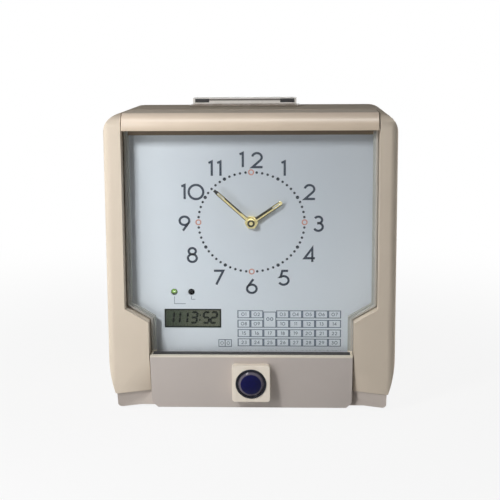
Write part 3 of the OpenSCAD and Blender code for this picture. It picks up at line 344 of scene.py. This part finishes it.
# Painted shade in dark olive: on the hands' shaded sides and edges, and in the groove round their hub
SHADE_OLIVE = surface("shade_olive", srgb(46, 40, 16), 0.4, mottle=0.08, mottle_mm=2)
INK_THROAT = surface("ink_throat", srgb(112, 106, 100), 0.5, mottle=0.1, mottle_mm=3)
INK_DOT = surface("ink_dot", srgb(36, 42, 52), 0.5, mottle=0.08, mottle_mm=2)
# Painted shade: the brown strip along the window's top, for the shadow under the brow
SEAL_SHADE_BROWN = surface("seal_shade_brown", srgb(126, 115, 101), 0.7, gleam=0.05, grain=0.3)
# Painted shade: a darker, greyer copy of the case plastic for the shaded plinth
TRAY_SHADE_PLASTIC = surface("tray_shade_plastic", srgb(208, 198, 190), 0.6, gleam=0.05, grain=0.18, grain_mm=0.6)


# CAD pieces: their finish and softened edges

WELD_MM = 0.002
FLAT_DEG = 0.2
EDGE_DEG = 32
EDGE_SEGMENTS = 3


def soften(name, width_mm):
    """Rounds a CAD piece's sharp edges without touching its mesh."""
    piece = NODES[name]
    weld = piece.modifiers.new("weld", "WELD")
    weld.merge_threshold = WELD_MM * MM
    flat = piece.modifiers.new("flat", "DECIMATE")
    flat.decimate_type = "DISSOLVE"
    flat.angle_limit = math.radians(FLAT_DEG)
    bevel = piece.modifiers.new("bevel", "BEVEL")
    bevel.width = width_mm * MM
    bevel.segments = EDGE_SEGMENTS
    bevel.limit_method = "ANGLE"
    bevel.angle_limit = math.radians(EDGE_DEG)
    bevel.use_clamp_overlap = True
    bevel.harden_normals = False
    normals = piece.modifiers.new("normals", "WEIGHTED_NORMAL")
    normals.keep_sharp = False


NODE_LOOKS = {"base_tray": TRAY_SHADE_PLASTIC}
for entry in frame["record"]["subparts"]:
    piece = NODES[entry["node"]]
    look = NODE_LOOKS.get(entry["node"], LOOKS[entry["material_slot"]])
    if not piece.material_slots:
        piece.data.materials.append(look)
    for slot in piece.material_slots:
        slot.material = look

EDGE_MM = {"main_case": 0.9, "cover_frame": 1.1, "base_tray": 0.8, "catch_boss": 0.5, "catch_ring": 0.4,
           "card_throat": 0.4, "rear_panel": 0.4, "rubber_feet": 0.6, "minute_hand": 0.2, "hour_hand": 0.2,
           "hand_cap": 0.2, "movement_nut": 0.3, "throat_pads": 0.2, "mains_gland": 0.5, "rear_screws": 0.2}
for name, width in EDGE_MM.items():
    soften(name, width)


# Printed marks, gathered into thin closed meshes

INK_MM = 0.08
SINK_MM = 0.02
MITRE_LIMIT = 0.35
SAME_PLACE = 1e-6
DIGIT_GAP = 0.14
DOT_SIDES = 20


def arc(cx, cz, radius, start, end, count=18):
    """Points of an arc between two angles in degrees."""
    angles = [math.radians(start + (end - start) * i / count) for i in range(count + 1)]
    return [(cx + radius * math.cos(a), cz + radius * math.sin(a)) for a in angles]


# Each digit's strokes in a box one unit high, and the width it takes
DIGITS = {
    "0": ([[(0.9 * u, v) for u, v in arc(0.5, 0.5, 0.5, 0, 360, 40)]], 0.9),
    "1": ([[(0.0, 0.9), (0.2, 1.0), (0.2, 0.0)]], 0.24),
    "2": ([arc(0.32, 0.69, 0.29, 170, -42) + [(0.04, 0.0), (0.66, 0.0)]], 0.66),
    "3": ([arc(0.27, 0.755, 0.235, 150, -90) + arc(0.27, 0.265, 0.275, 90, -155)], 0.58),
    "4": ([[(0.5, 0.0), (0.5, 1.0), (0.02, 0.27), (0.66, 0.27)]], 0.66),
    "5": ([[(0.56, 1.0), (0.2, 1.0), (0.1, 0.55)] + arc(0.28, 0.31, 0.31, 130, -150)], 0.6),
    "6": ([arc(0.32, 0.3, 0.3, 0, 360, 30), [(0.06, 0.44), (0.42, 1.0)]], 0.64),
    "7": ([[(0.02, 1.0), (0.6, 1.0), (0.16, 0.0)]], 0.6),
    "8": ([arc(0.3, 0.765, 0.225, 0, 360, 26), arc(0.3, 0.27, 0.275, 0, 360, 30)], 0.6),
    "9": ([arc(0.32, 0.7, 0.3, 0, 360, 30), [(0.58, 0.56), (0.22, 0.0)]], 0.64),
}


class Print:
    """Flat marks on a plane that faces -Y, drawn in millimetres from an origin on that plane."""

    def __init__(self, origin, thick_mm=INK_MM):
        self.origin = Vector(origin)
        self.front = -thick_mm
        self.back = SINK_MM
        self.mesh = bmesh.new()

    def _vertex(self, point, depth):
        return self.mesh.verts.new(self.origin + Vector((point[0], depth, point[1])) * MM)

    def area(self, points):
        """A filled convex outline."""
        front = [self._vertex(p, self.front) for p in points]
        back = [self._vertex(p, self.back) for p in points]
        self.mesh.faces.new(front)
        self.mesh.faces.new(back[::-1])
        for i in range(len(points)):
            j = (i + 1) % len(points)
            self.mesh.faces.new((front[j], front[i], back[i], back[j]))

    def disc(self, x, z, radius, count=DOT_SIDES):
        self.area(arc(x, z, radius, 0, 360, count)[:-1])

    def box(self, x0, z0, x1, z1):
        self.area([(x0, z0), (x1, z0), (x1, z1), (x0, z1)])

    def _section(self, points, i, closed, width):
        """The four corners of a line at one of its points, mitred between the stretches that meet there."""
        stretches = []
        if closed or i:
            stretches.append((points[i - 1], points[i]))
        if closed or i + 1 < len(points):
            stretches.append((points[i], points[(i + 1) % len(points)]))
        sides = [Vector((b[0] - a[0], b[1] - a[1])).normalized() for a, b in stretches]
        way = sum(sides, Vector((0, 0))).normalized()
        reach = width / 2 / max(MITRE_LIMIT, way.dot(sides[0]))
        x, z = points[i]
        corners = [(x - side * way.y * reach, z + side * way.x * reach) for side in (1, -1)]
        return [self._vertex(corner, depth) for depth in (self.front, self.back) for corner in corners]

    def stroke(self, points, width):
        """A line of even width along the points, closed where its ends meet."""
        closed = math.dist(points[0], points[-1]) < SAME_PLACE
        if closed:
            points = points[:-1]
        rows = [self._section(points, i, closed, width) for i in range(len(points))]
        following = rows[1:] + rows[:1] if closed else rows[1:]
        for (a0, a1, a2, a3), (b0, b1, b2, b3) in zip(rows, following):
            for face in ((a0, a1, b1, b0), (a2, b2, b3, a3), (a0, b0, b2, a2), (a1, a3, b3, b1)):
                self.mesh.faces.new(face)
        if not closed:
            for a0, a1, a2, a3 in (rows[0], rows[-1]):
                self.mesh.faces.new((a0, a2, a3, a1))

    def frame(self, x0, z0, x1, z1, width):
        self.stroke([(x0, z0), (x1, z0), (x1, z1), (x0, z1), (x0, z0)], width)

    def number(self, text, x, z, height, line, gap=DIGIT_GAP, wide=1.0):
        """Digits centred on a point, with a stroke of that line width and stretched by wide."""
        tall = height - line
        step = gap * height + line
        total = sum(DIGITS[c][1] for c in text) * tall * wide + step * (len(text) - 1)
        left = x - total / 2
        for c in text:
            strokes, share = DIGITS[c]
            for points in strokes:
                self.stroke([(left + u * tall * wide, z + (v - 0.5) * tall) for u, v in points], line)
            left += share * tall * wide + step

    def done(self, name, material, body="housing"):
        """Makes the marks a piece that rides a body."""
        bmesh.ops.recalc_face_normals(self.mesh, faces=self.mesh.faces)
        data = bpy.data.meshes.new(name)
        self.mesh.to_mesh(data)
        self.mesh.free()
        piece = bpy.data.objects.new(name, data)
        bpy.context.scene.collection.objects.link(piece)
        data.materials.append(material)
        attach(piece, body)


DIAL_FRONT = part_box("dial_plate")[0].y
HUB = Vector(JOINTS["minute_turn"]["pos_m"])
DIAL_ORIGIN = (HUB.x, DIAL_FRONT, HUB.z)
TRACK_RX = 46.4
TRACK_RZ = 43.8
NUMERAL_RX = 58.6
NUMERAL_RZ = 55.6
NUMERAL_H = 14.4
NUMERAL_WIDE = 1.14
NUMERAL_STROKE = 2.0
NUMERAL_GAPS = {10: 0.07, 11: 0.15, 12: 0.36}
NUMERAL_NUDGE = {1: -1.3, 5: -1.0, 8: -1.4, 10: -0.6, 11: -2.2}
NUMERAL_DROP = 1.15
MINUTE_DOT_R = 1.1
HOUR_DOT_R = 1.5
QUARTER_RING_R = 2.1
QUARTER_RING_LINE = 1.1
QUARTER_RING_SIDES = 24


def dial_point(hour, radius_x, radius_z):
    """The place of an hour on an oval round the hub, in mm."""
    angle = math.radians(90 - 30 * hour)
    return radius_x * math.cos(angle), radius_z * math.sin(angle)


numerals = Print(DIAL_ORIGIN)
for hour in range(1, 13):
    x, z = dial_point(hour, NUMERAL_RX, NUMERAL_RZ)
    numerals.number(str(hour), x + NUMERAL_NUDGE.get(hour, 0), z - NUMERAL_DROP, NUMERAL_H, NUMERAL_STROKE,
                    NUMERAL_GAPS.get(hour, 0), NUMERAL_WIDE)
numerals.done("dial_numerals", INK_DARK)

dots = Print(DIAL_ORIGIN)
rings = Print(DIAL_ORIGIN)
for minute in range(60):
    place = dial_point(minute / 5, TRACK_RX, TRACK_RZ)
    if minute % 15 == 0:
        rings.stroke(arc(*place, QUARTER_RING_R, 0, 360, QUARTER_RING_SIDES), QUARTER_RING_LINE)
    else:
        dots.disc(*place, HOUR_DOT_R if minute % 5 == 0 else MINUTE_DOT_R)
dots.done("dial_dots", INK_DOT)
rings.done("dial_quarter_rings", INK_RED)

# The number table under the dial, the lone pair of cells beside it, and the lamps' leader lines
TABLE_LEFT = -12.9
TABLE_PITCH = 11.45
TABLE_COLUMNS = 8
ROW_SPANS = [(-79.0, -85.4), (-87.6, -94.0), (-96.2, -102.6), (-104.6, -111.0)]
CELL_LINE = 0.7
CELL_SIDE = 0.95
MERGED_COLUMN = 2
MERGED_ROWS = 2
MERGED_INSET = 0.4
MERGED_DROP = 1.2
MERGED_BOLD = 1.3
LONE_LEFT = -29.6
LONE_PITCH = 5.6
LONE_HIGH = -105.4
LONE_LOW = -111.6
LONE_CELLS = 2
CELL_TEXT_H = 3.2
CELL_TEXT_STROKE = 0.5

cells = Print(DIAL_ORIGIN)
labels = Print(DIAL_ORIGIN)


def cell(left, low, high):
    """A cell's frame, with heavier sides than top and bottom."""
    right = left + TABLE_PITCH
    for z in (low, high):
        cells.box(left, z - CELL_LINE / 2, right, z + CELL_LINE / 2)
    for x in (left, right - CELL_SIDE):
        cells.box(x, low, x + CELL_SIDE, high)


count = 0
for row, (high, low) in enumerate(ROW_SPANS):
    for column in range(TABLE_COLUMNS):
        if column == MERGED_COLUMN and row < MERGED_ROWS:
            continue
        count += 1
        left = TABLE_LEFT + column * TABLE_PITCH
        cell(left, low, high)
        labels.number(f"{count:02d}", left + TABLE_PITCH / 2, (high + low) / 2, CELL_TEXT_H, CELL_TEXT_STROKE)
merged_left = TABLE_LEFT + MERGED_COLUMN * TABLE_PITCH
merged_right = merged_left + TABLE_PITCH
merged_high = ROW_SPANS[0][0]
merged_low = ROW_SPANS[MERGED_ROWS - 1][1]
merged_mid = (merged_high + merged_low) / 2
cells.frame(merged_left + MERGED_INSET, merged_low, merged_right - MERGED_INSET, merged_high - MERGED_DROP,
            CELL_LINE)
labels.number("00", merged_left + TABLE_PITCH / 2, merged_mid, CELL_TEXT_H, CELL_TEXT_STROKE * MERGED_BOLD)
for i in range(LONE_CELLS):
    left = LONE_LEFT + i * LONE_PITCH
    cells.frame(left, LONE_LOW, left + LONE_PITCH, LONE_HIGH, CELL_LINE)
    labels.number("0", left + LONE_PITCH / 2, (LONE_LOW + LONE_HIGH) / 2, CELL_TEXT_H, CELL_TEXT_STROKE)

# How far each lamp's leader line drops below the lamp and then runs to its right
LEADERS = {"power_lamp": (10.6, 10.0), "signal_lamp": (6.6, 3.4)}
LEADER_START = 4
LEADER_LINE = 0.45
for node, (drop, run) in LEADERS.items():
    low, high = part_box(node)
    x = ((low.x + high.x) / 2 - HUB.x) / MM
    z = ((low.z + high.z) / 2 - HUB.z) / MM
    cells.stroke([(x, z - LEADER_START), (x, z - drop), (x + run, z - drop)], LEADER_LINE)
cells.done("table_cells", INK_GREY)
labels.done("table_numbers", INK_GREY)


# Trim on the hands: a black tip on the long one, and painted shade in dark olive: dark edges and a dark line on
# both, and a dark ring in the groove on their hub

HUB_RING_R = 2.4
HUB_RING_LINE = 1.6
HUB_RING_MM = 0.1
HUB_RING_SIDES = 32
TRIM_MM = 0.12
EDGE_LINE = 0.5
HAND_HALF_W = {"minute_hand": 1.2, "hour_hand": 1.5}


def hand_trim(name, joint, node, material, start, end, line, offsets=(0.0,)):
    """Stripes along a hand, from start to end as shares of its length, each set off to its left in mm."""
    low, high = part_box(node)
    pivot = Vector(JOINTS[joint]["pos_m"])
    corner = [max(low[k] - pivot[k], high[k] - pivot[k], key=abs) / MM for k in (0, 2)]
    reach = Vector([way - math.copysign(HAND_HALF_W[node], way) for way in corner])
    left = Vector((-reach.y, reach.x)).normalized()
    stripes = Print((pivot.x, low.y, pivot.z), thick_mm=TRIM_MM)
    for offset in offsets:
        stripes.stroke([tuple(reach * share + left * offset) for share in (start, end)], line)
    stripes.done(name, material, JOINTS[joint]["child"])


hub_shade_ring = Print((HUB.x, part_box("hand_cap")[0].y, HUB.z), thick_mm=HUB_RING_MM)
hub_shade_ring.stroke(arc(0, 0, HUB_RING_R, 0, 360, HUB_RING_SIDES), HUB_RING_LINE)
hub_shade_ring.done("hub_shade_ring", SHADE_OLIVE, JOINTS["minute_turn"]["child"])
hand_trim("minute_hand_tip", "minute_turn", "minute_hand", LOOKS["black_plastic"],
          start=0.935, end=1.027, line=2.5)
hand_trim("minute_hand_shade_line", "minute_turn", "minute_hand", SHADE_OLIVE,
          start=0.3, end=0.75, line=0.8, offsets=(-0.8,))
hand_trim("hour_hand_shade_line", "hour_turn", "hour_hand", SHADE_OLIVE,
          start=0.18, end=0.73, line=1.6, offsets=(0.6,))
hand_trim("minute_hand_shade_edges", "minute_turn", "minute_hand", SHADE_OLIVE,
          start=0.12, end=0.97, line=EDGE_LINE, offsets=(-1.4, 1.4))
hand_trim("hour_hand_shade_edges", "hour_turn", "hour_hand", SHADE_OLIVE,
          start=0.17, end=0.99, line=EDGE_LINE, offsets=(-1.7, 1.7))


# Small display: seven-segment digits on the module's face, and a dark edge round it, which is painted shade of the
# display's recess

SEGMENTS = {
    "0": "abcdef", "1": "bc", "2": "abged", "3": "abgcd", "4": "fgbc",
    "5": "afgcd", "6": "afgcde", "7": "abc", "8": "abcdefg", "9": "abcdfg",
}
SEGMENT_SLANT = 0.12
SEGMENT_GAP = 0.02


def segment_digit(ink, digit, x, z, wide, tall, bar):
    """One slanted digit with its lower left corner at x, z."""
    half = tall / 2
    places = {"a": (0, tall, 1), "g": (0, half, 1), "d": (0, 0, 1),
              "f": (0, half, 0), "b": (wide, half, 0), "e": (0, 0, 0), "c": (wide, 0, 0)}
    for name in SEGMENTS[digit]:
        u, v, flat = places[name]
        length = wide if flat else half
        cut = bar / 2
        start, end = SEGMENT_GAP, length - SEGMENT_GAP
        line = [(start, 0), (start + cut, cut), (end - cut, cut),
                (end, 0), (end - cut, -cut), (start + cut, -cut)]
        points = [(u + p, v + q) if flat else (u - q, v + p) for p, q in line]
        ink.area([(x + p + SEGMENT_SLANT * q, z + q) for p, q in points])


LCD_LOW, LCD_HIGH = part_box("lcd_module")
LCD_MID = ((LCD_LOW.x + LCD_HIGH.x) / 2, LCD_LOW.y, (LCD_LOW.z + LCD_HIGH.z) / 2)
LCD_HALF_W = (LCD_HIGH.x - LCD_LOW.x) / 2 / MM
LCD_HALF_H = (LCD_HIGH.z - LCD_LOW.z) / 2 / MM
SEGMENT_H = 9.6
SEGMENT_W = 5.0
SEGMENT_BAR = 1.9
SEGMENT_RISE = 0.6
COLON_X = 6.2
COLON_HALF_H = 2.2
COLON_R = 0.75
COLON_SIDES = 12
EDGE_SHADE_INSET = 0.5
EDGE_SHADE_LINE = 1.2

# Each digit of the display and the place of its left side
SHOWN = (("1", -22.6), ("1", -17.0), ("1", -10.4), ("3", -1.9), ("5", 8.9), ("2", 15.6))
display = Print(LCD_MID)
for digit, x in SHOWN:
    segment_digit(display, digit, x, SEGMENT_RISE - SEGMENT_H / 2, SEGMENT_W, SEGMENT_H, SEGMENT_BAR)
for z in (SEGMENT_RISE - COLON_HALF_H, SEGMENT_RISE + COLON_HALF_H):
    display.disc(COLON_X + SEGMENT_SLANT * z, z, COLON_R, COLON_SIDES)
display.done("display_digits", SEGMENT_INK_AND_SHADE)
edge_shade = Print(LCD_MID)
edge_shade_half_w = LCD_HALF_W - EDGE_SHADE_INSET
edge_shade_half_h = LCD_HALF_H - EDGE_SHADE_INSET
edge_shade.frame(-edge_shade_half_w, -edge_shade_half_h, edge_shade_half_w, edge_shade_half_h, EDGE_SHADE_LINE)
edge_shade.done("display_edge_shade", SEGMENT_INK_AND_SHADE)


# Dark seals on the cover, along the window's lower and upper edges: painted shade, strips that stand for the
# shadow at those edges

GLASS_LOW, GLASS_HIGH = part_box("cover_window")
SEAL_HALF = 86
SEAL_H = 0.6
SEAL_T = 8.0
TOP_SEAL_HALF = 104.5
TOP_SEAL_H = 4.3
TOP_SEAL_T = 1.5


def window_seal(name, edge, half, low, high, thick, material):
    """A dark strip on the window's front, between two heights in mm from one of its edges, as painted shade along
    that edge.
    """
    seal = Print((0, GLASS_LOW.y, edge), thick_mm=thick)
    seal.box(-half, low, half, high)
    seal.done(name, material, "cover")


window_seal("window_seal", GLASS_LOW.z, SEAL_HALF, 0, SEAL_H, SEAL_T, LOOKS["belt_rubber"])
window_seal("window_top_shade_seal", GLASS_HIGH.z, TOP_SEAL_HALF, -TOP_SEAL_H, 0, TOP_SEAL_T, SEAL_SHADE_BROWN)


# A dark line on the throat's front, from pad to pad

THROAT_LINE_HALF = 33
THROAT_LINE_H = 1.5
THROAT_LINE_RISE = 0.7


def throat_line():
    """A flat mark a little above the middle of the pads."""
    low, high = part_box("throat_pads")
    mark = Print(((low.x + high.x) / 2, high.y, (low.z + high.z) / 2 + THROAT_LINE_RISE * MM))
    mark.box(-THROAT_LINE_HALF, -THROAT_LINE_H / 2, THROAT_LINE_HALF, THROAT_LINE_H / 2)
    mark.done("throat_line", INK_THROAT)


throat_line()


# Floor, light and camera

WHITE = (1, 1, 1, 1)
FLOOR_HALF = 4.0
FLOOR_GREY = (0.56, 0.56, 0.56, 1)
FLOOR_ROUGH = 0.9
FLOOR_NEAR = 0.2
FLOOR_FAR = 0.9
FLOOR_NEAR_WHITE = 0.88
WORLD_STRENGTH = 0.025
LAMP_AIM = Vector((0, -0.03, 0.14))

# Each lamp's place and size in metres, and its power in watts
LAMPS = {
    "key": dict(place=(-0.27, -0.5, 0.46), size=(0.1, 0.1), power=2.15),
    "bounce": dict(place=(-0.33, -0.44, 0.03), size=(0.3, 0.3), power=1.2),
    "rear": dict(place=(0.5, 1.1, 0.3), size=(0.7, 0.5), power=6),
    "left": dict(place=(-0.8, 0.2, 0.2), size=(0.5, 0.4), power=3),
    "right": dict(place=(0.8, 0.2, 0.2), size=(0.5, 0.4), power=2.3),
    "gleam": dict(place=(0, -0.5, 1.0), size=(1.4, 0.12), power=12),
}
FILLS = ("bounce", "rear", "left", "right")


def studio_rays(nodes, links):
    """One for the rays that show the white studio itself: straight, mirrored or through glass."""
    path = nodes.new("ShaderNodeLightPath")
    rays = path.outputs["Is Camera Ray"]
    for kind in ("Is Glossy Ray", "Is Transmission Ray"):
        either = nodes.new("ShaderNodeMath")
        either.operation = "MAXIMUM"
        links.new(rays, either.inputs[0])
        links.new(path.outputs[kind], either.inputs[1])
        rays = either.outputs["Value"]
    return rays


def white_share(nodes, links):
    """How white the floor shows: a little less beside the object, where it keeps the shadow."""
    coords = nodes.new("ShaderNodeTexCoord")
    length = nodes.new("ShaderNodeVectorMath")
    length.operation = "LENGTH"
    links.new(coords.outputs["Object"], length.inputs[0])
    away = nodes.new("ShaderNodeMapRange")
    away.interpolation_type = "SMOOTHSTEP"
    away.inputs["From Min"].default_value = FLOOR_NEAR
    away.inputs["From Max"].default_value = FLOOR_FAR
    away.inputs["To Min"].default_value = FLOOR_NEAR_WHITE
    away.inputs["To Max"].default_value = 1.0
    links.new(length.outputs["Value"], away.inputs["Value"])
    share = nodes.new("ShaderNodeMath")
    share.operation = "MULTIPLY"
    links.new(studio_rays(nodes, links), share.inputs[0])
    links.new(away.outputs["Result"], share.inputs[1])
    return share.outputs["Value"]


def floor_paper():
    """Grey paper for the light on the object, and white paper for the rays that show the studio."""
    material, nodes, links = new_material("floor_paper")
    shader = nodes["Principled BSDF"]
    shader.inputs["Base Color"].default_value = FLOOR_GREY
    shader.inputs["Roughness"].default_value = FLOOR_ROUGH
    white = nodes.new("ShaderNodeEmission")
    white.inputs["Color"].default_value = WHITE
    white.inputs["Strength"].default_value = 1.0
    mix = nodes.new("ShaderNodeMixShader")
    links.new(white_share(nodes, links), mix.inputs["Fac"])
    links.new(shader.outputs["BSDF"], mix.inputs[1])
    links.new(white.outputs["Emission"], mix.inputs[2])
    links.new(mix.outputs["Shader"], nodes["Material Output"].inputs["Surface"])
    return material


def floor():
    data = bpy.data.meshes.new("floor")
    sides = ((-1, -1), (1, -1), (1, 1), (-1, 1))
    data.from_pydata([(x * FLOOR_HALF, y * FLOOR_HALF, 0) for x, y in sides], [], [(0, 1, 2, 3)])
    data.materials.append(floor_paper())
    plane = bpy.data.objects.new("floor", data)
    bpy.context.scene.collection.objects.link(plane)


def world_light():
    """White where it is seen or mirrored, and a soft even light on the object."""
    world = bpy.data.worlds.new("studio")
    bpy.context.scene.world = world
    world.use_nodes = True
    nodes, links = world.node_tree.nodes, world.node_tree.links
    seen = nodes.new("ShaderNodeBackground")
    seen.inputs["Color"].default_value = WHITE
    soft = nodes["Background"]
    soft.inputs["Color"].default_value = WHITE
    soft.inputs["Strength"].default_value = WORLD_STRENGTH
    mix = nodes.new("ShaderNodeMixShader")
    links.new(studio_rays(nodes, links), mix.inputs["Fac"])
    links.new(soft.outputs["Background"], mix.inputs[1])
    links.new(seen.outputs["Background"], mix.inputs[2])
    links.new(mix.outputs["Shader"], nodes["World Output"].inputs["Surface"])


def softbox(name, place, size, power):
    """A rectangular lamp that points at the object."""
    data = bpy.data.lights.new(name, "AREA")
    data.shape = "RECTANGLE"
    data.size, data.size_y = size
    data.energy = power
    lamp = bpy.data.objects.new(name, data)
    lamp.location = place
    lamp.rotation_euler = (LAMP_AIM - Vector(place)).to_track_quat("-Z", "Y").to_euler()
    bpy.context.scene.collection.objects.link(lamp)
    return lamp


floor()
world_light()
lamps = {name: softbox(name, **lamp) for name, lamp in LAMPS.items()}
for name in FILLS:
    lamps[name].visible_glossy = False
lamps["gleam"].visible_diffuse = False

CAMERA_AIM = Vector((-0.0033, 0, 0.1321))
CAMERA_TURN = 2.42
CAMERA_RISE = 9.79
CAMERA_FAR = 1.0798
CAMERA_ROLL = -0.36
CAMERA_LENS = 84.9
CAMERA_REACH = 20


def camera():
    """Looks at CAMERA_AIM, turned and raised about it and rolled a little, in degrees and metres."""
    turn, rise, roll = (math.radians(a) for a in (CAMERA_TURN, CAMERA_RISE, CAMERA_ROLL))
    away = Vector((math.sin(turn) * math.cos(rise), -math.cos(turn) * math.cos(rise), math.sin(rise)))
    right = Vector((0, 0, 1)).cross(away).normalized()
    up = away.cross(right)
    tilted_right = right * math.cos(roll) + up * math.sin(roll)
    tilted_up = up * math.cos(roll) - right * math.sin(roll)
    data = bpy.data.cameras.new("camera")
    data.lens = CAMERA_LENS
    data.clip_end = CAMERA_REACH
    view = bpy.data.objects.new("camera", data)
    view.matrix_world = Matrix.Translation(CAMERA_AIM + away * CAMERA_FAR) @ Matrix(
        (tilted_right, tilted_up, away)).transposed().to_4x4()
    bpy.context.scene.collection.objects.link(view)
    bpy.context.scene.camera = view


camera()
bpy.context.scene.view_settings.view_transform = "Standard"
